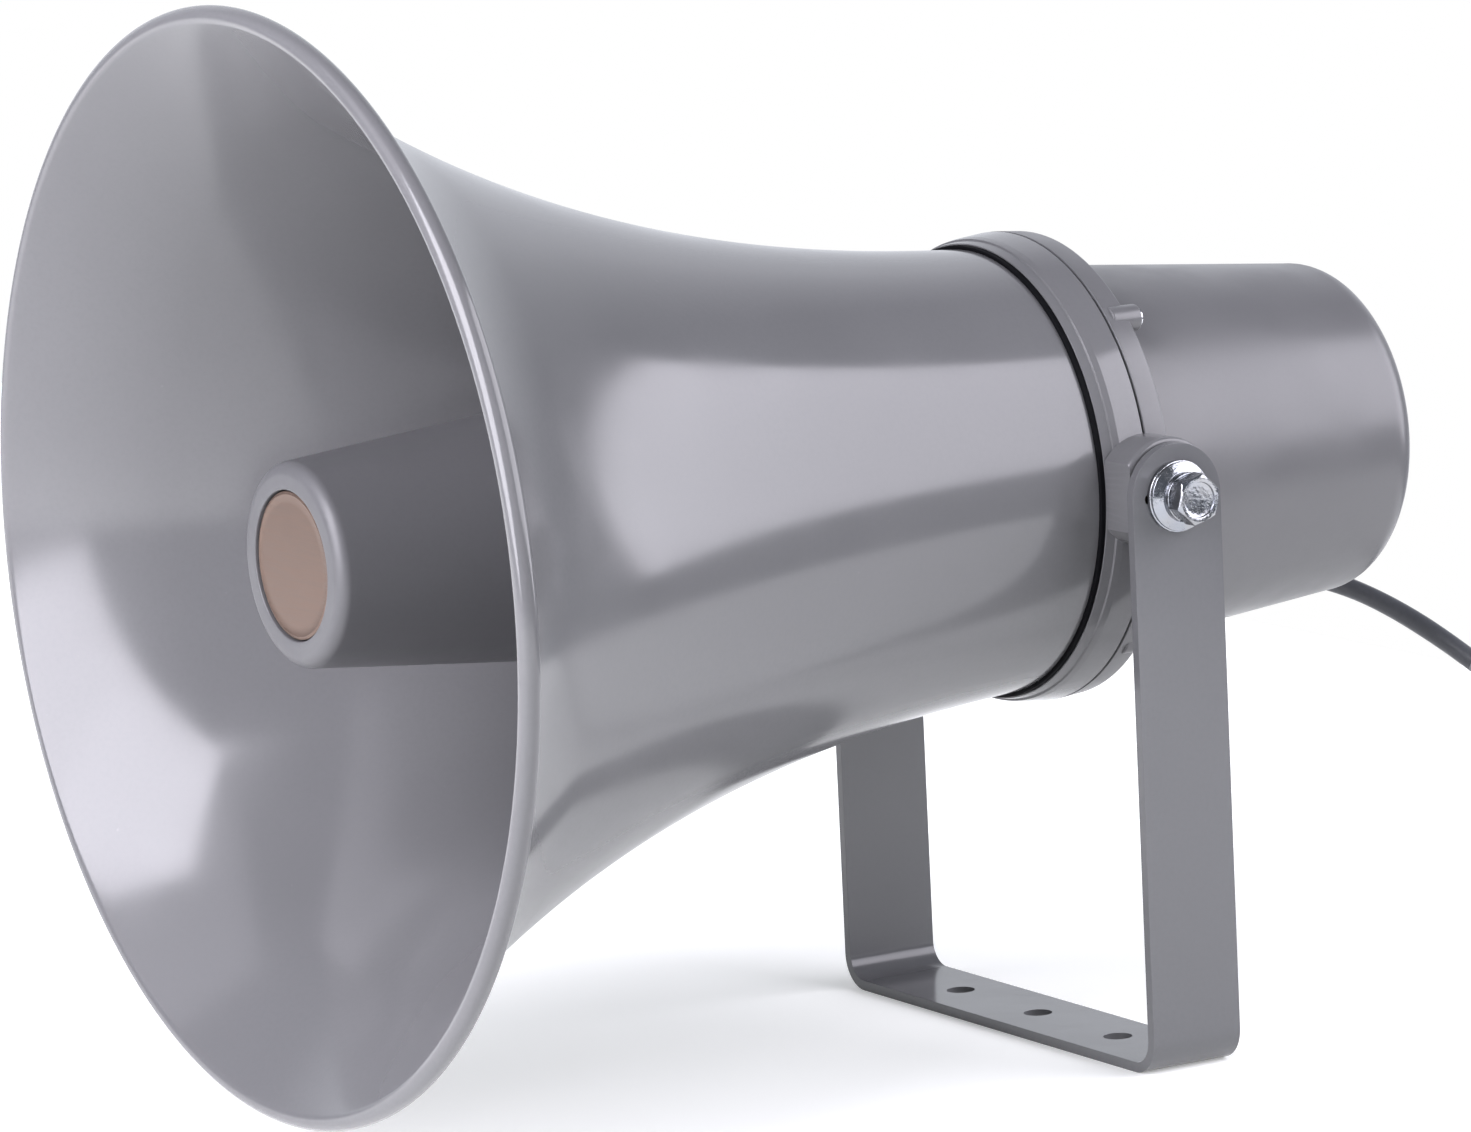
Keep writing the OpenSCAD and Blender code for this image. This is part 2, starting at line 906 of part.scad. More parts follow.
// Wires from the cable to the terminal block, and on to the transformer
module lead_wires() {
    wire_r = 0.9;
    spread = 2.4;
    cable_x = -cable_at * sin(outlet_turn);
    cable_y = -cable_at * cos(outlet_turn);
    joint_y = block_y + block_h / 2;
    joint_z = yoke_back - block_t - wire_r;
    color([0.55, 0.12, 0.10])
    on_horn_axis()
        for (i = [0, 1]) {
            x = cable_x + spread * (i - 0.5);
            wire([[x, cable_y, cable_inner_end + 1], [x, cable_y + 2, cable_inner_end + 9],
                  [-18, -12, -76], [terminal_pitch * (i - 1), joint_y, joint_z]], wire_r, 9, 10);
            wire([[terminal_pitch, joint_y, joint_z], [12, 30, -60],
                  [8 - 12 * i, 30, core_mid + 16], [6 - 12 * i, 12.5, core_mid + 10]], wire_r, 7, 10);
        }
}

// Rubber grommet in the outlet block
module cable_grommet() {
    color(black)
    on_horn_axis()
        at_outlet()
            union() {
                translate([cable_at, 0, 0])
                    ring(outlet_back - 6, hollow_back, cable_r, cable_hole_r);
                intersection() {
                    translate([cable_at, 0, 0])
                        ring(hollow_back, hollow_back + 1.4, cable_r, cable_hole_r + 1.2);
                    inside_hollow();
                }
            }
}

// Space between the hollow's outer wall and its open side
module inside_hollow() {
    translate([hollow_in, -outlet_w / 2, hollow_back])
        cube([hollow_out - hollow_in, outlet_w, 36]);
}

// Saddle that holds the cable inside the outlet block
module cable_clamp() {
    foot_w = 18.8;
    color(zinc)
    on_horn_axis()
        at_outlet()
            difference() {
                union() {
                    intersection() {
                        translate([cable_at, 0, clamp_back])
                            cylinder(h = clamp_w, r = cable_r + 1.2, $fn = 48);
                        inside_hollow();
                    }
                    translate([hollow_out - clamp_t, -foot_w / 2, clamp_back])
                        cube([clamp_t, foot_w, clamp_w]);
                }
                translate([cable_at, 0, clamp_back - 1])
                    cylinder(h = clamp_w + 2, r = cable_r, $fn = 48);
                translate([cable_at - 1, clamp_screw_at, clamp_back + clamp_w / 2])
                    rotate([0, 90, 0])
                        cylinder(h = 6, r = clamp_screw_r, $fn = 32);
            }
}

// Screw of the cable saddle
module clamp_screw() {
    color(zinc)
    on_horn_axis()
        at_outlet()
            translate([hollow_out - clamp_t, clamp_screw_at, clamp_back + clamp_w / 2])
                rotate([0, -90, 0])
                    pan_screw(clamp_screw_r, clamp_t + 1.9, 2.2, 1.6);
}

// Cable: straight through the grommet, then a drooping curve to its free end
module cable() {
    start = [-cable_at * sin(outlet_turn), -cable_at * cos(outlet_turn), outlet_nose];
    path = [start, start - [0, 0, 33], [-30, -35, -120], [31, -73, -141.5]];
    color([0.20, 0.21, 0.23])
    on_horn_axis()
        union() {
            translate(start)
                cylinder(h = cable_inner_end - outlet_nose, r = cable_r, $fn = 24);
            wire(path, cable_r, 20, 24);
        }
}

// Hex-head bolt drawn outwards from the flange's boss
module pivot_bolt(side) {
    head_base = arm_out + flat_washer_t + cone_washer_t + lock_washer_t;
    hex_r = hex_af / 2 / cos(30);
    color(zinc)
    on_tilt_axis(side)
        difference() {
            union() {
                translate([0, 0, boss_face - bolt_reach])
                    cylinder(h = head_base - boss_face + bolt_reach + 0.5, r = bolt_shank_r);
                intersection() {
                    translate([0, 0, head_base])
                        cylinder(h = hex_h, r = hex_r, $fn = 6);
                    union() {
                        translate([0, 0, head_base])
                            cylinder(h = hex_h - 1, r = hex_r);
                        translate([0, 0, head_base + hex_h - 1])
                            cylinder(h = 1, r1 = hex_r, r2 = hex_af / 2 - 0.2);
                    }
                }
            }
            translate([0, 0, head_base + hex_h - 0.8])
                cylinder(h = 2, r = hex_af / 2 - 1.6);
        }
}

module pivot_bolt_left() {
    pivot_bolt(-1);
}

module pivot_bolt_right() {
    pivot_bolt(1);
}

// Split lock washer under each bolt head
module spring_washers() {
    gap = 1.2;
    color(zinc)
    for (side = [-1, 1])
        on_tilt_axis(side)
            translate([0, 0, arm_out + flat_washer_t + cone_washer_t])
                difference() {
                    ring(0, lock_washer_t, 4.2, lock_washer_r);
                    translate([0, -gap / 2, -1])
                        rotate([0, 0, 200])
                            cube([10, gap, lock_washer_t + 2]);
                }
}

// Dished washer on each side
module cone_washers() {
    base_z = arm_out + flat_washer_t;
    color(zinc)
    for (side = [-1, 1])
        on_tilt_axis(side)
            rotate_extrude()
                polygon([
                    [4.2, base_z], [cone_washer_r, base_z], [cone_washer_r, base_z + 0.7],
                    [7.3, base_z + cone_washer_t], [4.2, base_z + cone_washer_t]
                ]);
}

// Flat washer against each arm
module flat_washers() {
    color(zinc)
    for (side = [-1, 1])
        on_tilt_axis(side)
            ring(arm_out, arm_out + flat_washer_t, 4.2, flat_washer_r);
}

// Fibre washer between each boss and its arm
module friction_washers() {
    color([0.25, 0.20, 0.17])
    for (side = [-1, 1])
        on_tilt_axis(side)
            ring(boss_face, arm_in, 4.3, 12);
}

// Threaded insert in each boss
module pivot_inserts() {
    color([0.80, 0.66, 0.34])
    for (side = [-1, 1])
        on_tilt_axis(side)
            ring(boss_face - insert_l, boss_face, insert_bore_r, insert_r);
}

bracket();
bell();
bell_seal();
bell_screws();
front_flange();
flange_gasket();
rear_cover();
cover_screws();
throat_tube();
throat_screws();
reflector();
reflector_screw();
badge_disc();
phase_plug();
clamp_ring();
surround();
diaphragm();
voice_coil();
basket_ring();
top_plate();
magnet();
pole_yoke();
driver_screws();
transformer_core();
transformer_winding();
transformer_strap();
strap_screws();
terminal_block();
terminal_screws();
lead_wires();
cable_grommet();
cable_clamp();
clamp_screw();
cable();
pivot_bolt_left();
pivot_bolt_right();
spring_washers();
cone_washers();
flat_washers();
friction_washers();
pivot_inserts();
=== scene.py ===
"""Looks of the horn loudspeaker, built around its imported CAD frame."""

import json
import math

import bmesh
import bpy
import numpy as np
from mathutils import Matrix, Vector


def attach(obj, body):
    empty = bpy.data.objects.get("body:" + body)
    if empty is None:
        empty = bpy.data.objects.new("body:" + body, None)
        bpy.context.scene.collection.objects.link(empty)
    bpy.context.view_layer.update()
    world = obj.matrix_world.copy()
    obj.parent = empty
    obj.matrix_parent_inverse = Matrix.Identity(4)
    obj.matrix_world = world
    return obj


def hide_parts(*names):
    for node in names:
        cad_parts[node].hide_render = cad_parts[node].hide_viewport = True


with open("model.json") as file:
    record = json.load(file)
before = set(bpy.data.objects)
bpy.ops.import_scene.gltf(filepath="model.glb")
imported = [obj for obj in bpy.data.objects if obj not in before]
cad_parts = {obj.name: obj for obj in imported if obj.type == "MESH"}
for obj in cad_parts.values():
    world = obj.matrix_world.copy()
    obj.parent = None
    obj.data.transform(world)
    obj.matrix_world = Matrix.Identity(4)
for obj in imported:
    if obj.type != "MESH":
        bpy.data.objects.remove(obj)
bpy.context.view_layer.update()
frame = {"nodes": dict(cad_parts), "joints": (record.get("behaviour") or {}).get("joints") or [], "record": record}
nodes = frame["nodes"]

# ---------------------------------------------------------------- sizes, in millimetres
# Distances along the horn are measured from the front flange's back face, positive towards the mouth.
# Distances on the tilt axis are measured from the horn's axis.
MM = 0.001
PIVOT_H = frame["joints"][0]["pos_m"][2] / MM

# Bell
SHEET_T = 1.2
BEAD_R = 3.0
BELL_REAR_R = 65.1
BELL_FOOT_R = 54.0
BELL_CORNER_R = 3.0
FLARE_START = 12.6
FLARE_END = 252.7
FLARE_RATE = 0.01048
LIP_START = 215.0
LIP_TURN = 6.0

# Reflector and the disc in its front face
REFLECTOR_R = 28.65
REFLECTOR_FRONT = 239.5
REFLECTOR_L = 181.0
REFLECTOR_TAPER = 0.0977
REFLECTOR_WALL = 2.0
REFLECTOR_EDGE_R = 4.0
RECESS = 3.7
FRONT_FLOOR_T = 2.5
HUB_FRONT = REFLECTOR_FRONT - 16.5
HUB_R = 5.5
HUB_BORE_R = 2.5
BADGE_R = 20.75
BADGE_T = 2.9
BADGE_GAP = 0.4
BADGE_CROWN = 0.25

# Front flange, its pivot bosses and the seal
WEB_T = 5.0
FLANGE_R = 69.0
FLANGE_FRONT = 13.0
BAND_FRONT = 7.9
BAND_FRONT_R = 68.2
CHAMFER_FRONT = 10.0
CHAMFER_R = 67.8
LIP_R = 67.3
LIP_LEAN = 0.55
SEAL_GAP = 1.2
SOCKET_R = BELL_REAR_R + SEAL_GAP
SEAL_BACK = 9.2
SEAL_FRONT = 14.6
BOSS_R = 16.3
BOSS_ROOT = 66.6
BOSS_BORE_R = 5.6
BOSS_CLEARANCE = 0.4
THROAT_R = 9.0
GASKET_T = 0.8
GASKET_IN_R = 57.0
GASKET_INSET = 1.6

# Screw circles and holes
SCREW_ANGLES = [45, 135, 225, 315]
COVER_SCREW_AT = 65.6
BELL_SCREW_AT = 57.5
DRIVER_SCREW_AT = 46.6
THROAT_SCREW_AT = 26.0
SMALL_HOLE_R = 1.5
LARGE_HOLE_R = 2.0
HOLE_TOP = 4.0
HOLE_FLOOR = 0.5

# Rear cover
COVER_L = 111.0
COVER_FRONT_R = 58.2
COVER_REAR_R = 49.4
COVER_CORNER_R = 9.5
COVER_WALL = 2.6
REAR_FLANGE_BACK = -8.6
REAR_FLANGE_R = 68.3
SCREW_BOSS_R = 4.0
SCREW_BOSS_BACK = -12.8
POST_AT = 28
POST_R = 4.5

# Cable outlet and cable
OUTLET_TURN = 30.0
OUTLET_W = 24.0
OUTLET_R = 64.0
OUTLET_IN_R = 50
OUTLET_BACK = -60.0
OUTLET_NOSE = -66.5
OUTLET_WALL = 2.4
OUTLET_EDGE_R = 1.4
CABLE_AT = 58.5
CABLE_R = 3.0
CABLE_HOLE_R = 4.4

# Pivot bolts and the washers between bolt head and arm
ARM_OUT = 83.0
BOSS_FACE = 79.0
WASHER_BORE_R = 4.2
FLAT_T = 1.6
FLAT_R = 10.3
CONE_T = 2.4
CONE_R = 9.9
LOCK_T = 2.0
LOCK_R = 7.1
HEX_AF = 13.0
HEX_H = 5.5
SHANK_R = 3.95
SHANK_TIP = 70.2

# Meshes: points around the large round parts, the turn that keeps their seams off the screw holes,
# and the distance below which points become one
FINE = 256
SEAM_TURN = 180 / FINE
MERGE = 0.0005 * MM


# ---------------------------------------------------------------- placing
def from_horn(p):
    """Row-frame point, in metres, of a point (x, up, forward) on the horn, in millimetres."""
    return (p[0] * MM, -p[2] * MM, (PIVOT_H + p[1]) * MM)


def from_right(p):
    """Row-frame point of a point (up, back, outward) measured on the right end of the tilt axis."""
    return (p[2] * MM, p[1] * MM, (PIVOT_H + p[0]) * MM)


def from_left(p):
    """The same for the left end of the tilt axis, turned half round so that faces keep their sense."""
    return (-p[2] * MM, -p[1] * MM, (PIVOT_H + p[0]) * MM)


def turned(degrees):
    """Placing function on the horn with local x pointing outwards at an angle around the axis."""
    c = math.cos(math.radians(degrees))
    s = math.sin(math.radians(degrees))
    return lambda p: from_horn((p[0] * c - p[1] * s, p[0] * s + p[1] * c, p[2]))


def at_outlet(p):
    """Row-frame point of a point (outwards, sideways, forward) measured at the cable outlet's angle."""
    return turned(-90 - OUTLET_TURN)(p)


# ---------------------------------------------------------------- profiles
def arc(centre, radius, start, end, steps):
    """Points on an arc in the profile plane; angles in degrees."""
    angles = np.radians(np.linspace(start, end, steps + 1))
    return [(centre[0] + radius * math.cos(a), centre[1] + radius * math.sin(a)) for a in angles]


def rounded(points, radius, steps=6):
    """Closed outline with each corner rounded; radius is one number or one per corner."""
    count = len(points)
    radii = [radius] * count if isinstance(radius, (int, float)) else radius
    out = []
    for i, here in enumerate(points):
        here = np.array(here, float)
        before = np.array(points[i - 1], float) - here
        after = np.array(points[(i + 1) % count], float) - here
        len_before = np.linalg.norm(before)
        len_after = np.linalg.norm(after)
        before /= len_before
        after /= len_after
        half = math.acos(max(-1.0, min(1.0, float(before @ after)))) / 2
        if radii[i] <= 0 or half > math.radians(89.5):
            out.append(tuple(here))
            continue
        cut = min(radii[i] / math.tan(half), 0.49 * len_before, 0.49 * len_after)
        start = here + before * cut
        end = here + after * cut
        for k in range(steps + 1):
            t = k / steps
            out.append(tuple((1 - t) ** 2 * start + 2 * t * (1 - t) * here + t * t * end))
    return out


def offset_path(path, distance):
    """Open path moved sideways by a distance."""
    points = np.array(path, float)
    ahead = np.vstack([points[1:], points[-1:]])
    behind = np.vstack([points[:1], points[:-1]])
    run = ahead - behind
    run /= np.linalg.norm(run, axis=1)[:, None]
    side = np.stack([run[:, 1], -run[:, 0]], axis=1)
    return points + distance * side


def sheet_outline(path, thickness):
    """Closed outline of a sheet that follows a path."""
    outer = offset_path(path, thickness / 2)
    inner = offset_path(path, -thickness / 2)[::-1]
    return [tuple(p) for p in np.vstack([outer, inner])]


# ---------------------------------------------------------------- meshes
def mesh_object(name, verts, faces, sharp_deg=32):
    """Object from vertices and faces, with outward normals and smooth shading up to an angle."""
    mesh = bpy.data.meshes.new(name)
    mesh.from_pydata([tuple(v) for v in verts], [], faces)
    work = bmesh.new()
    work.from_mesh(mesh)
    bmesh.ops.remove_doubles(work, verts=work.verts, dist=1e-7)
    bmesh.ops.recalc_face_normals(work, faces=work.faces)
    work.to_mesh(mesh)
    work.free()
    return linked(name, mesh, sharp_deg)


def linked(name, mesh, sharp_deg):
    """Object that shows a mesh, smoothly shaded up to an angle."""
    obj = bpy.data.objects.new(name, mesh)
    bpy.context.scene.collection.objects.link(obj)
    smooth(obj, sharp_deg)
    return obj


def smooth(obj, sharp_deg=32):
    """Smooth shading, with edges sharper than the angle kept crisp."""
    obj.data.shade_smooth()
    obj.data.set_sharp_from_angle(angle=math.radians(sharp_deg))


def evaluated_mesh(obj):
    """New mesh with the object's modifiers applied."""
    depsgraph = bpy.context.evaluated_depsgraph_get()
    return bpy.data.meshes.new_from_object(obj.evaluated_get(depsgraph))


def revolved(name, outline, place=from_horn, segments=192, sharp_deg=32, turn=0.0):
    """Closed outline of (radius, distance) points turned around an axis."""
    verts = []
    for k in range(segments):
        angle = 2 * math.pi * k / segments + math.radians(turn)
        c, s = math.cos(angle), math.sin(angle)
        verts += [place((r * c, r * s, z)) for r, z in outline]
    count = len(outline)
    faces = []
    for k in range(segments):
        nxt = (k + 1) % segments
        for i in range(count):
            j = (i + 1) % count
            if outline[i][0] < 1e-6 and outline[j][0] < 1e-6:
                continue
            quad = [k * count + i, k * count + j, nxt * count + j, nxt * count + i]
            if outline[i][0] < 1e-6:
                quad = [quad[0], quad[1], quad[2]]
            elif outline[j][0] < 1e-6:
                quad = [quad[0], quad[1], quad[3]]
            faces.append(quad)
    return mesh_object(name, verts, faces, sharp_deg)


def joined(name, objects, sharp_deg=32):
    """One object from several, which are removed."""
    work = bmesh.new()
    for obj in objects:
        work.from_mesh(obj.data)
        bpy.data.objects.remove(obj)
    mesh = bpy.data.meshes.new(name)
    work.to_mesh(mesh)
    work.free()
    return linked(name, mesh, sharp_deg)


def combined(name, base, others, operation, sharp_deg=32):
    """Boolean of a base with other objects, applied and cleaned; all the inputs are removed."""
    for other in others:
        mod = base.modifiers.new("cut", "BOOLEAN")
        mod.object = other
        mod.operation = operation
        mod.solver = "EXACT"
    mesh = evaluated_mesh(base)
    mesh.name = name
    work = bmesh.new()
    work.from_mesh(mesh)
    bmesh.ops.remove_doubles(work, verts=work.verts, dist=MERGE)
    bmesh.ops.dissolve_degenerate(work, edges=work.edges, dist=MERGE)
    work.to_mesh(mesh)
    work.free()
    for obj in [base] + others:
        bpy.data.objects.remove(obj)
    return linked(name, mesh, sharp_deg)


def cylinder(name, radius, start, end, place, centre=(0.0, 0.0), segments=64, edge=0.0):
    """Cylinder along the placing axis, with rounded rims when edge is given."""
    outline = [(0, start), (radius, start), (radius, end), (0, end)]
    if edge > 0:
        outline = rounded(outline, [0, edge, edge, 0])
    return revolved(name, outline, lambda p: place((p[0] + centre[0], p[1] + centre[1], p[2])), segments)


def hole_tool(radius, start, end, angle, distance):
    """Cutting cylinder for a screw hole at an angle around the horn and a distance from its axis."""
    return cylinder("cut", radius, start, end, turned(angle), (distance, 0), 32)


def finish_piece(obj, material, body, slot, *replaced):
    """Material, body and the CAD nodes that a new piece stands for; the slot argument is not used."""
    obj.data.materials.clear()
    obj.data.materials.append(material)
    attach(obj, body)
    if replaced:
        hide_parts(*replaced)
    return obj


# ---------------------------------------------------------------- shapes
def reflector_radius(z):
    """Outside radius of the reflector."""
    return REFLECTOR_R + REFLECTOR_TAPER * (REFLECTOR_FRONT - z)


def bell_radius(z):
    """Outside radius of the bell: the passage's area grows exponentially, with a last outward turn."""
    start = BELL_REAR_R**2 - reflector_radius(FLARE_START) ** 2
    area = start * math.exp(FLARE_RATE * (z - FLARE_START))
    lip = max(0.0, (z - LIP_START) / (FLARE_END - LIP_START))
    return LIP_TURN * lip**2 + math.sqrt(area + reflector_radius(z) ** 2)


def bell_shell():
    """Spun bell: inner foot, rounded corner, flare and rolled edge, as one sheet."""
    steps = 110
    flare = [
        (bell_radius(z) - SHEET_T / 2, z)
        for z in np.linspace(FLARE_START, FLARE_END, steps + 1)
    ]
    slope = math.degrees(math.atan2(flare[-1][1] - flare[-2][1], flare[-1][0] - flare[-2][0]))
    curl_r = BEAD_R - SHEET_T / 2
    side = math.radians(slope - 90)
    centre = (flare[-1][0] + curl_r * math.cos(side), flare[-1][1] + curl_r * math.sin(side))
    curl = arc(centre, curl_r, slope + 90, slope - 215, 40)[1:]
    foot_z = WEB_T + SHEET_T / 2
    corner_centre = (BELL_REAR_R - SHEET_T / 2 - BELL_CORNER_R, foot_z + BELL_CORNER_R)
    corner = arc(corner_centre, BELL_CORNER_R, -90, 0, 10)
    path = [(BELL_FOOT_R, foot_z), (BELL_FOOT_R + 4, foot_z)] + corner + flare + curl
    return revolved("bell_shell", sheet_outline(path, SHEET_T), segments=FINE, sharp_deg=50)


def seal_ring():
    """Rubber ring between bell and socket, with a soft front edge; its near-black tone is partly painted shade of
    the deep gap there.
    """
    outline = [
        (BELL_REAR_R + 0.03, SEAL_BACK), (SOCKET_R, SEAL_BACK),
        (SOCKET_R, SEAL_FRONT), (BELL_REAR_R + 0.15, SEAL_FRONT),
    ]
    return revolved("bell_seal_ring", rounded(outline, [0.2, 0.2, 0.5, 0.2]), segments=192)


def boss(side_place):
    """Round pivot boss with a hole for its insert, flush with the flange's lip and clear of the cover."""
    outline = [
        (BOSS_BORE_R, BOSS_ROOT), (BOSS_R, BOSS_ROOT), (BOSS_R, BOSS_FACE), (BOSS_BORE_R, BOSS_FACE),
    ]
    disc = revolved("boss", rounded(outline, [0, 0, 1.6, 0]), side_place, 96)
    before_lip = cylinder("cut", BOSS_FACE + 2, FLANGE_FRONT + 0.01, 40, from_horn, segments=FINE)
    behind_band = cylinder("cut", FLANGE_R + BOSS_CLEARANCE, -40, 0.05, from_horn, segments=FINE)
    return combined("boss", disc, [before_lip, behind_band], "DIFFERENCE")


def front_flange():
    """Cast flange: band, chamfer, lip and socket, with a boss on each side."""
    outline = [
        (THROAT_R, 0), (FLANGE_R, 0), (BAND_FRONT_R, BAND_FRONT), (CHAMFER_R, CHAMFER_FRONT - 0.1),
        (LIP_R, CHAMFER_FRONT + 0.1), (LIP_R - LIP_LEAN, FLANGE_FRONT), (SOCKET_R, FLANGE_FRONT),
        (SOCKET_R, WEB_T), (THROAT_R, WEB_T),
    ]
    radii = [0, 0.25, 0.6, 0.35, 0.2, 0.15, 0.15, 0, 0]
    body = revolved("flange_body", rounded(outline, radii), segments=FINE, turn=SEAM_TURN)
    body = combined("flange_body", body, [boss(from_right), boss(from_left)], "UNION")
    tools = []
    for angle in SCREW_ANGLES:
        tools.append(hole_tool(SMALL_HOLE_R, -1, HOLE_TOP, angle, COVER_SCREW_AT))
        tools.append(hole_tool(LARGE_HOLE_R, HOLE_FLOOR, WEB_T + 1, angle, BELL_SCREW_AT))
        tools.append(hole_tool(LARGE_HOLE_R, -1, HOLE_TOP, angle - 45, DRIVER_SCREW_AT))
        tools.append(hole_tool(LARGE_HOLE_R, HOLE_FLOOR, WEB_T + 1, angle - 45, THROAT_SCREW_AT))
    return combined("front_flange_casting", body, [joined("cut", tools)], "DIFFERENCE", 28)


def gasket():
    """Thin gasket, set in from the flanges' edges."""
    outer = FLANGE_R - GASKET_INSET
    outline = [(GASKET_IN_R, -GASKET_T), (outer, -GASKET_T), (outer, 0), (GASKET_IN_R, 0)]
    ring = revolved("gasket", rounded(outline, [0, 0.2, 0.2, 0]), segments=FINE, turn=SEAM_TURN)
    holes = [hole_tool(SMALL_HOLE_R, -2, 1, angle, COVER_SCREW_AT) for angle in SCREW_ANGLES]
    return combined("flange_gasket_ring", ring, holes, "DIFFERENCE")


def cover_outline():
    """Closed outline of the cover's wall, flange and rounded rear corner."""
    rear_z = -COVER_L + COVER_CORNER_R
    in_front = COVER_FRONT_R - COVER_WALL
    in_corner = COVER_CORNER_R - COVER_WALL
    corner = arc((COVER_REAR_R - COVER_CORNER_R, rear_z), COVER_CORNER_R, 0, -90, 14)
    inner_corner = arc((COVER_REAR_R - COVER_CORNER_R, rear_z), in_corner, -90, 0, 8)
    flange = rounded(
        [(in_front, -GASKET_T), (FLANGE_R, -GASKET_T), (REAR_FLANGE_R, REAR_FLANGE_BACK),
         (COVER_FRONT_R, REAR_FLANGE_BACK), (COVER_FRONT_R - 2, REAR_FLANGE_BACK - 20)],
        [0, 0.25, 1.0, 1.6, 0],
    )[:-1]
    return flange + corner + [(0, -COVER_L), (0, -COVER_L + COVER_WALL)] + inner_corner + [
        (in_front, REAR_FLANGE_BACK)
    ]


def outlet_block():
    """Block under the cover for the cable, with rounded edges and a chamfered back."""
    side = [
        (OUTLET_IN_R, REAR_FLANGE_BACK + 1), (OUTLET_R, REAR_FLANGE_BACK + 1), (OUTLET_R, OUTLET_BACK),
        (OUTLET_R - 0.9, OUTLET_BACK - 2), (OUTLET_IN_R, OUTLET_NOSE - 6),
    ]
    half = OUTLET_W / 2
    verts = [at_outlet((r, w, z)) for w in (-half, half) for r, z in side]
    count = len(side)
    faces = [list(range(count)), list(range(count, 2 * count))[::-1]]
    faces += [[i, (i + 1) % count, count + (i + 1) % count, count + i] for i in range(count)]
    block = mesh_object("outlet", verts, faces)
    bevel = block.modifiers.new("edges", "BEVEL")
    bevel.width = OUTLET_EDGE_R * MM
    bevel.segments = 5
    bevel.limit_method = "ANGLE"
    bevel.angle_limit = math.radians(15)
    return block


def outlet_hollow():
    """Space inside the outlet block, open to the inside of the cover."""
    half = OUTLET_W / 2 - OUTLET_WALL
    low, high = 44, OUTLET_R - OUTLET_WALL
    back, front = OUTLET_BACK + 3, OUTLET_BACK + 39
    verts = [at_outlet((r, w, z)) for r in (low, high) for w in (-half, half) for z in (back, front)]
    faces = [[0, 1, 3, 2], [4, 6, 7, 5], [0, 4, 5, 1], [2, 3, 7, 6], [0, 2, 6, 4], [1, 5, 7, 3]]
    return mesh_object("cut", verts, faces)


def rear_cover():
    """Tapered cover with its flange, screw bosses and cable outlet."""
    shell = revolved("cover_body", cover_outline(), segments=FINE, turn=SEAM_TURN)
    outlet = outlet_block()
    bosses = []
    for angle in SCREW_ANGLES:
        at = (COVER_SCREW_AT, 0)
        bosses.append(cylinder("boss", SCREW_BOSS_R, SCREW_BOSS_BACK, -3, turned(angle), at, 48, 0.7))
    posts = [
        cylinder("post", POST_R, -COVER_L + 1, -COVER_L + 6, from_horn, (x, 0), 48)
        for x in (-POST_AT, POST_AT)
    ]
    solid = combined("cover_solid", shell, [outlet, joined("added", bosses + posts)], "UNION")
    holes = [hole_tool(SMALL_HOLE_R, -30, 1, angle, COVER_SCREW_AT) for angle in SCREW_ANGLES]
    holes.append(cylinder("cut", CABLE_HOLE_R, -80, OUTLET_BACK + 4, at_outlet, (CABLE_AT, 0), 48))
    return combined("rear_cover_shell", solid, [joined("cut", holes), outlet_hollow()], "DIFFERENCE", 30)


def reflector_cup():
    """Reflector: rounded front rim, disc recess, and a taper that widens to the rear."""
    edge_z = REFLECTOR_FRONT - REFLECTOR_EDGE_R
    rear = REFLECTOR_FRONT - REFLECTOR_L
    floor_z = REFLECTOR_FRONT - RECESS - FRONT_FLOOR_T
    recess_z = REFLECTOR_FRONT - RECESS
    recess_r = BADGE_R + BADGE_GAP
    rim_r = reflector_radius(edge_z) - REFLECTOR_EDGE_R
    inner_front = reflector_radius(floor_z) - REFLECTOR_WALL
    outline = [(HUB_BORE_R, HUB_FRONT), (HUB_R, HUB_FRONT), (HUB_R, floor_z), (inner_front - 3, floor_z)]
    outline += [(inner_front, floor_z - 3), (reflector_radius(rear) - REFLECTOR_WALL, rear)]
    outline += [(reflector_radius(rear), rear)]
    outline += arc((rim_r, edge_z), REFLECTOR_EDGE_R, 4, 90, 14)
    outline += rounded(
        [(recess_r + 1.5, REFLECTOR_FRONT), (recess_r, REFLECTOR_FRONT), (recess_r, recess_z),
         (HUB_BORE_R + 2.5, recess_z), (HUB_BORE_R, recess_z - 2.5)],
        [0, 0.5, 0.2, 0, 0],
    )
    return revolved("reflector_cup", outline, segments=192, sharp_deg=40)


def badge():
    """Plain disc with a softly turned edge and a very slight crown."""
    base = REFLECTOR_FRONT - RECESS
    top = base + BADGE_T
    crown = [
        (r, top + BADGE_CROWN * (1 - (r / BADGE_R) ** 2)) for r in np.linspace(BADGE_R - 1.4, 0, 10)
    ]
    edge = rounded(
        [(0, base), (BADGE_R, base), (BADGE_R, top - 0.1), (BADGE_R - 0.9, top + 0.16),
         (BADGE_R - 1.4, top)],
        [0, 0, 0.25, 0.25, 0],
    )
    return revolved("badge_plate", edge + crown[1:], segments=192, sharp_deg=60)


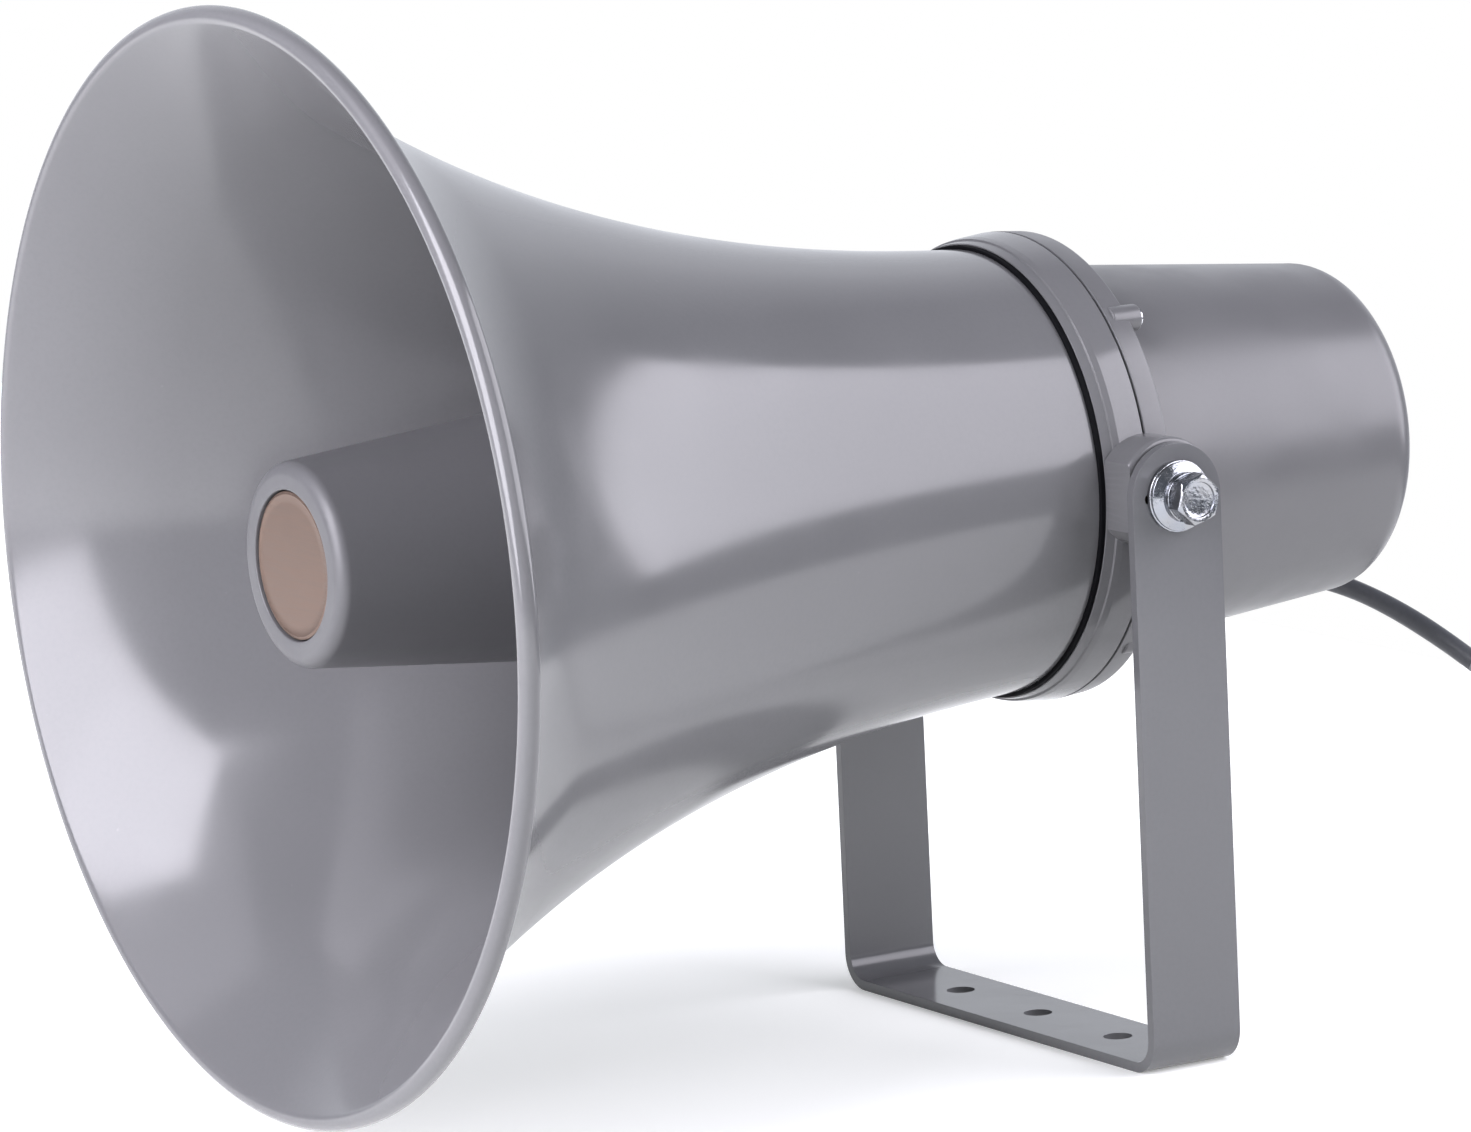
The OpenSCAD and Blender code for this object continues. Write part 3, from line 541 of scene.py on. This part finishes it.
def cable_path(steps):
    """Points of the cable's centre line on the horn, from inside the outlet to the free end."""
    turn = math.radians(OUTLET_TURN)
    x, y = -CABLE_AT * math.sin(turn), -CABLE_AT * math.cos(turn)
    bend = (-30, -35, -120)
    free_end = (31, -73, -141.5)
    controls = np.array([(x, y, OUTLET_NOSE), (x, y, OUTLET_NOSE - 33), bend, free_end], float)
    straight = [np.array((x, y, z)) for z in np.linspace(OUTLET_BACK + 16, OUTLET_NOSE, 6)[:-1]]
    curve = []
    for t in np.linspace(0, 1, steps + 1):
        weights = [(1 - t) ** 3, 3 * t * (1 - t) ** 2, 3 * t * t * (1 - t), t**3]
        curve.append(np.array(weights) @ controls)
    return straight + curve


def tube(name, path, radius, sides, place=from_horn, ripple=0.0):
    """Round tube along a path, with closed ends; ripple is a faint twist relief of the jacket."""
    points = np.array(path, float)
    along = np.gradient(points, axis=0)
    along /= np.linalg.norm(along, axis=1)[:, None]
    side = np.cross(along[0], (0, 1, 0))
    side /= np.linalg.norm(side)
    verts = []
    travelled = 0.0
    for i, p in enumerate(points):
        side = side - (side @ along[i]) * along[i]
        side /= np.linalg.norm(side)
        up = np.cross(along[i], side)
        if i:
            travelled += float(np.linalg.norm(p - points[i - 1]))
        for k in range(sides):
            angle = 2 * math.pi * k / sides
            r = radius - ripple * (1 + math.cos(2 * angle - travelled * 0.16))
            verts.append(place(tuple(p + r * (math.cos(angle) * side + math.sin(angle) * up))))
    faces = []
    for i in range(len(points) - 1):
        for k in range(sides):
            n = (k + 1) % sides
            faces.append([i * sides + k, i * sides + n, (i + 1) * sides + n, (i + 1) * sides + k])
    faces.append(list(range(sides))[::-1])
    faces.append([(len(points) - 1) * sides + k for k in range(sides)])
    return mesh_object(name, verts, faces, 60)


def hex_radius(angle, flats):
    """Distance from the centre to a hexagon's side at an angle."""
    sector = math.radians(60)
    return flats / 2 / math.cos((angle % sector) - sector / 2)


def pivot_bolt(name, place, turn):
    """Bolt as one turned form: plain shank, hexagon head with a turned chamfer, and a dished face."""
    segments = 192
    base = ARM_OUT + FLAT_T + CONE_T + LOCK_T
    top = base + HEX_H
    face_r = HEX_AF / 2 - 0.25
    recess_r = HEX_AF / 2 - 1.5
    shank = [(0, SHANK_TIP), (SHANK_R - 0.6, SHANK_TIP), (SHANK_R, SHANK_TIP + 0.6), (SHANK_R, base)]
    dish = [(face_r, top), (recess_r + 0.35, top), (recess_r + 0.1, top - 0.1), (recess_r - 0.1, top - 0.7)]
    dish += [
        (r, top - 0.78 - 0.25 * (1 - (r / recess_r) ** 2)) for r in np.linspace(recess_r - 0.5, 0, 7)
    ]
    verts = []
    for k in range(segments):
        angle = 2 * math.pi * k / segments
        side_r = hex_radius(angle, HEX_AF)
        drop = max(0.0, side_r - face_r) * math.tan(math.radians(30))
        side = [
            (side_r - 0.5, base), (side_r, base + 0.35), (side_r, top - drop - 0.25),
            (side_r - 0.12, top - drop - 0.04), (max(face_r, side_r - 0.4), top - max(0.0, drop - 0.2)),
        ]
        column = shank + side + dish
        c, s = math.cos(angle + turn), math.sin(angle + turn)
        verts += [place((r * c, r * s, z)) for r, z in column]
    rows = len(column)
    faces = []
    for k in range(segments):
        n = (k + 1) % segments
        for i in range(rows - 1):
            faces.append([k * rows + i, k * rows + i + 1, n * rows + i + 1, n * rows + i])
    return mesh_object(name, verts, faces, 24)


def flat_washer(place):
    """Plain washer against the arm."""
    top = ARM_OUT + FLAT_T
    outline = [(WASHER_BORE_R, ARM_OUT), (FLAT_R, ARM_OUT), (FLAT_R, top), (WASHER_BORE_R, top)]
    return revolved("washer", rounded(outline, [0.1, 0.3, 0.5, 0.2]), place, 128)


def cone_washer(place):
    """Dished washer that rises towards the bolt head."""
    base = ARM_OUT + FLAT_T
    top = base + CONE_T
    outline = [
        (WASHER_BORE_R, base), (CONE_R, base), (CONE_R, base + 0.75), (7.3, top), (WASHER_BORE_R, top),
    ]
    return revolved("washer", rounded(outline, [0.1, 0.2, 0.35, 0.6, 0.2]), place, 128)


def lock_washer(place):
    """Split spring washer: a rounded rectangle swept round, with a slanted gap."""
    base = ARM_OUT + FLAT_T + CONE_T
    corners = [(WASHER_BORE_R, 0), (LOCK_R, 0), (LOCK_R, LOCK_T), (WASHER_BORE_R, LOCK_T)]
    section = rounded(corners, 0.3, 4)
    gap = math.radians(9)
    start = math.radians(200)
    steps = 90
    verts = []
    for k in range(steps + 1):
        for r, z in section:
            slant = (z / LOCK_T - 0.5) * math.radians(8)
            angle = start + gap / 2 + (2 * math.pi - gap) * k / steps + slant
            verts.append(place((r * math.cos(angle), r * math.sin(angle), base + z)))
    count = len(section)
    faces = [list(range(count)), [steps * count + i for i in range(count)][::-1]]
    for k in range(steps):
        for i in range(count):
            j = (i + 1) % count
            faces.append([k * count + i, k * count + j, (k + 1) * count + j, (k + 1) * count + i])
    return mesh_object("washer", verts, faces, 35)


def pan_screw(name, place, head_r, head_h, shank_r, shank_l):
    """Pan-head screw with a cross recess; the head rises along the placing axis."""
    dome = arc((0, head_h - head_r * 1.5), head_r * 1.5, 48, 90, 10)
    outline = [(0, -shank_l), (shank_r - 0.3, -shank_l), (shank_r, -shank_l + 0.3), (shank_r, 0)]
    outline += [(head_r - 0.15, 0), (head_r, 0.15), (head_r, head_h * 0.45)]
    outline += [p for p in dome if p[0] < head_r - 0.05 and p[1] > head_h * 0.5]
    head = revolved(name, outline, place, 64)
    cross = []
    for along, across in ((head_r * 0.62, head_r * 0.16), (head_r * 0.16, head_r * 0.62)):
        top, bottom = head_h + 1, head_h * 0.35
        corners = [(-1, -1), (1, -1), (1, 1), (-1, 1)]
        verts = [place((x * along, y * across, top)) for x, y in corners]
        verts += [place((x * along * 0.6, y * across * 0.6, bottom)) for x, y in corners]
        faces = [[0, 1, 2, 3], [7, 6, 5, 4], [0, 4, 5, 1], [1, 5, 6, 2], [2, 6, 7, 3], [3, 7, 4, 0]]
        cross.append(mesh_object("cut", verts, faces))
    return combined(name, head, cross, "DIFFERENCE")


def cover_screws():
    """Four pan-head screws whose heads face the rear."""
    screws = []
    for angle in SCREW_ANGLES:
        around = turned(angle)

        def place(p, around=around):
            return around((p[0] + COVER_SCREW_AT, -p[1], SCREW_BOSS_BACK - p[2]))

        screws.append(pan_screw("screw", place, head_r=2.8, head_h=2.0, shank_r=SMALL_HOLE_R, shank_l=15.6))
    return joined("cover_screw_set", screws)


def bracket_strip():
    """U-shaped strip: the CAD shape with its sharp edges rounded."""
    source = nodes["bracket"]
    work = bmesh.new()
    work.from_mesh(source.data)
    bmesh.ops.remove_doubles(work, verts=work.verts, dist=1e-6)
    bmesh.ops.dissolve_limit(
        work, angle_limit=math.radians(0.3), verts=work.verts, edges=work.edges
    )
    mesh = bpy.data.meshes.new("bracket_strip")
    work.to_mesh(mesh)
    work.free()
    obj = bpy.data.objects.new("bracket_strip", mesh)
    bpy.context.scene.collection.objects.link(obj)
    bevel = obj.modifiers.new("edges", "BEVEL")
    bevel.width = 0.55 * MM
    bevel.segments = 3
    bevel.limit_method = "ANGLE"
    bevel.angle_limit = math.radians(40)
    bevel.harden_normals = False
    final = evaluated_mesh(obj)
    obj.modifiers.clear()
    obj.data = final
    smooth(obj, 35)
    normals = obj.modifiers.new("even", "WEIGHTED_NORMAL")
    normals.keep_sharp = True
    normals.weight = 80
    return obj


# ---------------------------------------------------------------- materials
class Nodes:
    """Small helper that adds and links shader nodes of one material."""

    def __init__(self, name):
        self.material = bpy.data.materials.new(name)
        self.material.use_nodes = True
        self.tree = self.material.node_tree
        self.shader = self.tree.nodes["Principled BSDF"]
        self.coords = self.add("ShaderNodeTexCoord").outputs["Object"]

    def add(self, kind, **values):
        """New node; each value sets the input of that name or else the node's own property."""
        node = self.tree.nodes.new(kind)
        for key, value in values.items():
            if key in node.inputs:
                node.inputs[key].default_value = value
            else:
                setattr(node, key, value)
        return node

    def link(self, source, target):
        self.tree.links.new(source, target)

    def noise(self, scale, detail=3.0, roughness=0.5, stretch=None):
        """Noise at a scale per metre; stretch squeezes it along axes."""
        node = self.add("ShaderNodeTexNoise", Scale=scale, Detail=detail, Roughness=roughness)
        if stretch:
            mapping = self.add("ShaderNodeMapping", Scale=stretch)
            self.link(self.coords, mapping.inputs["Vector"])
            self.link(mapping.outputs["Vector"], node.inputs["Vector"])
        else:
            self.link(self.coords, node.inputs["Vector"])
        return node.outputs["Fac"]

    def ramp(self, source, stops):
        """Colour ramp; stops are (position, grey or colour)."""
        node = self.add("ShaderNodeValToRGB")
        node.color_ramp.interpolation = "EASE"
        elements = node.color_ramp.elements
        while len(elements) < len(stops):
            elements.new(0.5)
        for element, (position, colour) in zip(elements, stops):
            element.position = position
            element.color = colour if isinstance(colour, tuple) else (colour, colour, colour, 1)
        self.link(source, node.inputs["Fac"])
        return node.outputs["Color"]

    def mix(self, factor, a, b, blend="MIX"):
        """Colour mix; a and b are sockets or colours, factor a socket or a number."""
        node = self.add("ShaderNodeMix", data_type="RGBA", blend_type=blend)
        for value, slot_index in ((factor, 0), (a, 6), (b, 7)):
            if hasattr(value, "links"):
                self.link(value, node.inputs[slot_index])
            else:
                node.inputs[slot_index].default_value = value
        return node.outputs[2]

    def bump(self, height, strength, distance, below=None):
        """Normal with a relief from a height; below is the normal of a coarser relief."""
        node = self.add("ShaderNodeBump", Strength=strength, Distance=distance)
        self.link(height, node.inputs["Height"])
        if below is not None:
            self.link(below, node.inputs["Normal"])
        return node.outputs["Normal"]

    def set(self, **values):
        """Sets or links the shader's inputs and gives the material."""
        for key, value in values.items():
            socket = self.shader.inputs[key.replace("_", " ")]
            if hasattr(value, "links"):
                self.link(value, socket)
            else:
                socket.default_value = value
        return self.material


def shade(colour, factor):
    """Colour scaled, with alpha 1."""
    return (colour[0] * factor, colour[1] * factor, colour[2] * factor, 1.0)


def paint(name, colour, roughness, peel=0.06, grain=0.5):
    """Sprayed enamel: faint tone drift, orange peel with its finer grain, specks of dust, and convex edges
    lightened as a painted highlight.
    """
    n = Nodes(name)
    drift = n.noise(9, 2)
    fine = n.noise(700, 2)
    tone = n.mix(n.ramp(drift, [(0.3, 0.0), (0.7, 1.0)]), shade(colour, 0.965), shade(colour, 1.035))
    tone = n.mix(n.ramp(fine, [(0.35, 0.0), (0.75, 0.35)]), tone, shade(colour, 0.93))
    specks = n.ramp(n.noise(420, 1), [(0.0, 1.0), (0.225, 0.0)])
    tone = n.mix(specks, tone, shade(colour, 1.25))
    geometry = n.add("ShaderNodeNewGeometry")
    # Painted highlight: edges of high pointiness are lightened towards 1.3 times the colour, standing in for light
    # caught along edges.
    edge = n.ramp(geometry.outputs["Pointiness"], [(0.53, 0.0), (0.60, 0.35)])
    tone = n.mix(edge, tone, shade(colour, 1.3))
    rough = n.ramp(n.noise(35, 4), [(0.3, roughness * 0.85), (0.7, roughness * 1.2)])
    normal = n.bump(n.noise(240, 2, 0.4), peel, 0.0004)
    if grain > 0:
        normal = n.bump(n.noise(1600, 1), peel * grain, 0.0001, normal)
    return n.set(Base_Color=tone, Roughness=rough, Normal=normal, IOR=1.5)


def plated(name, colour, roughness, tint=0.25, relief=0.12):
    """Bright zinc plate: cloudy passivation tint, fine polish lines and small pits."""
    n = Nodes(name)
    cloud = n.noise(160, 4)
    cool = (colour[0] * 0.93, colour[1] * 0.98, colour[2] * 1.05, 1)
    warm = (colour[0] * 1.04, colour[1] * 1.0, colour[2] * 0.92, 1)
    tone = n.mix(n.ramp(cloud, [(0.35, 0.0), (0.65, 1.0)]), cool, warm)
    tone = n.mix(tint, shade(colour, 1.0), tone)
    rough = n.ramp(n.noise(450, 3), [(0.3, roughness * 0.7), (0.75, roughness * 1.5)])
    normal = n.bump(n.noise(900, 3), relief, 0.0002)
    return n.set(Base_Color=tone, Metallic=1.0, Roughness=rough, Normal=normal)


def bronze(name, colour):
    """Satin bronze disc: horizontal brushing over a soft tone drift."""
    n = Nodes(name)
    lines = n.noise(90, 3, 0.6, (1, 1, 26))
    tone = n.mix(n.ramp(lines, [(0.3, 0.0), (0.7, 1.0)]), shade(colour, 0.9), shade(colour, 1.1))
    rough = n.ramp(lines, [(0.3, 0.32), (0.7, 0.48)])
    normal = n.bump(lines, 0.08, 0.0002)
    return n.set(Base_Color=tone, Metallic=0.75, Roughness=rough, Normal=normal)


def dull(name, colour, roughness, grain=500, relief=0.15, metallic=0.0, spread=0.12, gloss=0.5):
    """Plain working finish: grainy tone, uneven roughness and a fine relief."""
    n = Nodes(name)
    grainy = n.noise(grain, 4, 0.6)
    fade = n.ramp(grainy, [(0.3, 0.0), (0.7, 1.0)])
    tone = n.mix(fade, shade(colour, 1 - spread), shade(colour, 1 + spread))
    rough = n.ramp(n.noise(grain / 6, 3), [(0.3, roughness * 0.85), (0.7, min(1.0, roughness * 1.15))])
    normal = n.bump(grainy, relief, 0.0002)
    return n.set(
        Base_Color=tone, Roughness=rough, Metallic=metallic, Normal=normal, Specular_IOR_Level=gloss
    )


def banded(name, colour, roughness, scale, stretch, metallic):
    """Layered finish, such as windings or laminations: fine bands along one axis."""
    n = Nodes(name)
    bands = n.noise(scale, 2, 0.5, stretch)
    tone = n.mix(n.ramp(bands, [(0.4, 0.0), (0.6, 1.0)]), shade(colour, 0.7), shade(colour, 1.15))
    normal = n.bump(bands, 0.4, 0.0003)
    return n.set(Base_Color=tone, Roughness=roughness, Metallic=metallic, Normal=normal)


GREY = (0.126, 0.126, 0.130)
# Painted shade: the cover has the same paint as the flange; this is the horn grey darkened by about an eighth to
# stand in for shade on the cover.
COVER_SHADED_GREY = (0.110, 0.110, 0.114)
BRACKET_GREY = (0.112, 0.113, 0.118)
# Painted shade: the reflector has the horn's grey paint; this grey is darkened to about two thirds of it, so that
# the reflector reads as shaded deep in the bell.
REFLECTOR_SHADED_GREY = (0.085, 0.085, 0.089)
# Black rubber's own dark colour, taken down to near-black as painted shade of the gaps that the seal and gasket
# sit in.
RUBBER_AND_GAP_SHADE_BLACK = (0.005, 0.005, 0.006)
PLASTIC_BLACK = (0.02, 0.02, 0.022)
ALLOY = (0.62, 0.63, 0.66)
STEEL = (0.45, 0.46, 0.48)
JACKET_GREY = (0.070, 0.073, 0.080)

bell_paint = paint("bell_paint", GREY, 0.15, peel=0.006, grain=0.0)
flange_paint = paint("flange_paint", GREY, 0.14, peel=0.02)
# The cover's paint takes the darkened grey, a painted shade.
cover_paint = paint("cover_paint", COVER_SHADED_GREY, 0.33, peel=0.04)
materials = {
    "grey_paint": paint("grey_paint", GREY, 0.33),
    "bracket_paint": paint("bracket_paint", BRACKET_GREY, 0.18, peel=0.04),
    # The reflector's paint takes the darkened grey, a painted shade.
    "reflector_paint": paint("reflector_paint", REFLECTOR_SHADED_GREY, 0.42),
    "black_rubber": dull("black_rubber", RUBBER_AND_GAP_SHADE_BLACK, 0.55, grain=900, relief=0.2, gloss=0.03),
    "bright_zinc": plated("bright_zinc", (0.33, 0.34, 0.36), 0.2, tint=0.4, relief=0.6),
    "screw_steel": plated("screw_steel", (0.60, 0.61, 0.63), 0.28),
    "badge_metal": bronze("badge_metal", (0.165, 0.114, 0.090)),
    "black_plastic": dull("black_plastic", PLASTIC_BLACK, 0.45, grain=700),
    "diaphragm_alloy": dull("diaphragm_alloy", ALLOY, 0.35, 300, 0.1, metallic=1.0, spread=0.05),
    "copper_wire": banded("copper_wire", (0.55, 0.24, 0.09), 0.35, 300, (1, 1, 14), metallic=0.8),
    "surround_film": dull("surround_film", (0.55, 0.46, 0.28), 0.5, grain=400),
    "magnet_steel": banded("magnet_steel", STEEL, 0.4, 160, (1, 10, 1), metallic=1.0),
    "ferrite": dull("ferrite", (0.035, 0.035, 0.04), 0.7, grain=1200, relief=0.35),
    "brass": dull("brass", (0.66, 0.48, 0.18), 0.3, 500, 0.1, metallic=1.0, spread=0.08),
    "fibre": dull("fibre", (0.10, 0.07, 0.05), 0.8, grain=1500, relief=0.4),
    "cable_jacket": dull("cable_jacket", JACKET_GREY, 0.42, grain=600, relief=0.12, spread=0.08),
    "wire_jacket": dull("wire_jacket", (0.35, 0.03, 0.02), 0.35, grain=400),
}


# ---------------------------------------------------------------- the object
def dress_cad_nodes():
    """Every carried-over CAD node takes the material of its slot and smooth shading."""
    slots = {s["node"]: s["material_slot"] for s in frame["record"]["subparts"]}
    for name, obj in nodes.items():
        obj.data.materials.clear()
        obj.data.materials.append(materials[slots[name]])
        smooth(obj)


def build_horn():
    """The visible pieces that tilt with the horn."""
    m = materials
    finish_piece(bell_shell(), bell_paint, "horn", "grey_paint", "bell")
    finish_piece(seal_ring(), m["black_rubber"], "horn", "black_rubber", "bell_seal")
    finish_piece(front_flange(), flange_paint, "horn", "grey_paint", "front_flange")
    finish_piece(gasket(), m["black_rubber"], "horn", "black_rubber", "flange_gasket")
    finish_piece(rear_cover(), cover_paint, "horn", "grey_paint", "rear_cover")
    finish_piece(reflector_cup(), m["reflector_paint"], "horn", "reflector_paint", "reflector")
    finish_piece(badge(), m["badge_metal"], "horn", "badge_metal", "badge_disc")
    finish_piece(cover_screws(), m["screw_steel"], "horn", "screw_steel", "cover_screws")
    jacket = tube("cable_tail", cable_path(72), CABLE_R, 40, ripple=0.04)
    finish_piece(jacket, m["cable_jacket"], "horn", "cable_jacket", "cable")


def build_pivots():
    """Bolts and washers on both ends of the tilt axis."""
    zinc = materials["bright_zinc"]
    sides = (("left", from_left, 0.30), ("right", from_right, 0.22))
    for side, place, turn in sides:
        bolt = pivot_bolt(f"{side}_pivot_bolt", place, turn)
        finish_piece(bolt, zinc, f"{side}_bolt", "bright_zinc", f"pivot_bolt_{side}")
    washers = (("flat_washer_pair", flat_washer, "flat_washers"),
               ("cone_washer_pair", cone_washer, "cone_washers"),
               ("lock_washer_pair", lock_washer, "spring_washers"))
    for name, make, node in washers:
        pair = joined(name, [make(from_left), make(from_right)])
        finish_piece(pair, zinc, "horn", "bright_zinc", node)


def build_bracket():
    """The fixed bracket."""
    finish_piece(bracket_strip(), materials["bracket_paint"], "bracket", "bracket_paint", "bracket")


# ---------------------------------------------------------------- the studio
def studio_floor():
    """Plain pale floor under the bracket, which glows more with distance and so fades into the white."""
    low, high = (-1.6, -1.6), (1.6, 0.45)
    corners = [(low[0], low[1], 0), (high[0], low[1], 0), (high[0], high[1], 0), (low[0], high[1], 0)]
    floor = mesh_object("floor", corners, [[0, 1, 2, 3]])
    n = Nodes("floor_pale")
    patches = n.ramp(n.noise(3, 2), [(0.3, 0.0), (0.7, 1.0)])
    tone = n.mix(patches, (0.88, 0.89, 0.86, 1), (0.90, 0.91, 0.88, 1))
    distance = n.add("ShaderNodeVectorMath", operation="LENGTH")
    n.link(n.coords, distance.inputs[0])
    glow = n.ramp(distance.outputs["Value"], [(0.5, 0.3), (1.0, 0.75)])
    floor.data.materials.append(
        n.set(
            Base_Color=tone, Roughness=0.9, Specular_IOR_Level=0.1,
            Emission_Color=glow, Emission_Strength=1.0,
        )
    )


def soft_box(name, corner, across, down, width, height, radiance):
    """Rectangular area light from its top left corner and two edge directions, in metres."""
    across = Vector(across).normalized()
    down = Vector(down).normalized()
    down = (down - down.dot(across) * across).normalized()
    light = bpy.data.lights.new(name, "AREA")
    light.shape = "RECTANGLE"
    light.size = width
    light.size_y = height
    light.energy = radiance * math.pi * width * height
    light.color = (0.99, 0.965, 1.055)
    obj = bpy.data.objects.new(name, light)
    basis = Matrix((-across, -down, across.cross(down))).transposed()
    centre = Vector(corner) + across * width / 2 + down * height / 2
    obj.matrix_world = Matrix.Translation(centre) @ basis.to_4x4()
    bpy.context.scene.collection.objects.link(obj)
    obj.visible_camera = False
    return obj


def studio_world():
    """White to the camera; to everything else a dim room with a pale backdrop on the far side."""
    world = bpy.data.worlds.new("studio")
    bpy.context.scene.world = world
    world.use_nodes = True
    tree = world.node_tree
    tree.nodes.clear()
    out = tree.nodes.new("ShaderNodeOutputWorld")
    seen = tree.nodes.new("ShaderNodeBackground")
    seen.inputs["Color"].default_value = (1, 1, 1, 1)
    around = tree.nodes.new("ShaderNodeBackground")
    coords = tree.nodes.new("ShaderNodeTexCoord")
    facing = tree.nodes.new("ShaderNodeVectorMath")
    facing.operation = "DOT_PRODUCT"
    facing.inputs[1].default_value = Vector((-0.85, 0.5, 0.17)).normalized()
    ramp = tree.nodes.new("ShaderNodeValToRGB")
    ramp.color_ramp.elements[0].position = 0.66
    ramp.color_ramp.elements[0].color = (0.18, 0.195, 0.225, 1)
    ramp.color_ramp.elements[1].position = 0.90
    ramp.color_ramp.elements[1].color = (0.96, 0.99, 1.06, 1)
    path = tree.nodes.new("ShaderNodeLightPath")
    mix = tree.nodes.new("ShaderNodeMixShader")
    link = tree.links.new
    link(coords.outputs["Generated"], facing.inputs[0])
    link(facing.outputs["Value"], ramp.inputs["Fac"])
    link(ramp.outputs["Color"], around.inputs["Color"])
    link(path.outputs["Is Camera Ray"], mix.inputs["Fac"])
    link(around.outputs["Background"], mix.inputs[1])
    link(seen.outputs["Background"], mix.inputs[2])
    link(mix.outputs["Shader"], out.inputs["Surface"])


def studio_lights():
    """A window behind the near side, a tall one in front of it, and a weak fill."""
    soft_box(
        "rear_window", (-0.066, 1.671, 1.076), (0.698, -0.616, 0.365), (0.358, -0.140, -0.923),
        1.8, 1.24, 5.0,
    )
    soft_box(
        "front_window", (1.08, -1.426, 2.05), (-0.951, -0.309, 0.15), (-0.143, -0.046, -1.0),
        1.29, 2.0, 10.0,
    )
    soft_box("front_fill", (1.3, -1.4, 2.5), (-1.0, 0.0, 0.0), (0.0, -0.6, -0.8), 2.8, 1.6, 1.2)


def studio_camera():
    """Long-lens camera at the object's near front corner, slightly above it."""
    width_px = 1471
    height_px = 1132
    focal_px = 7275.0
    centre = (691.6, 578.3)
    turn = Vector((1.582, 0.855, -0.793))
    data = bpy.data.cameras.new("camera")
    data.sensor_fit = "HORIZONTAL"
    data.sensor_width = 36
    data.lens = focal_px * data.sensor_width / width_px
    data.shift_x = (width_px / 2 - centre[0]) / width_px
    data.shift_y = (centre[1] - height_px / 2) / width_px
    data.clip_start = 0.05
    data.clip_end = 60
    look = Matrix.Rotation(turn.length, 3, turn.normalized())
    right, down, forward = look[0], look[1], look[2]
    basis = Matrix((right, -down, -forward)).transposed()
    camera = bpy.data.objects.new("camera", data)
    camera.matrix_world = Matrix.Translation((1.7662, -1.1491, 0.4771)) @ basis.to_4x4()
    bpy.context.scene.collection.objects.link(camera)
    bpy.context.scene.camera = camera


dress_cad_nodes()
build_horn()
build_pivots()
build_bracket()
studio_floor()
studio_world()
studio_lights()
studio_camera()
bpy.context.scene.view_settings.view_transform = "Standard"
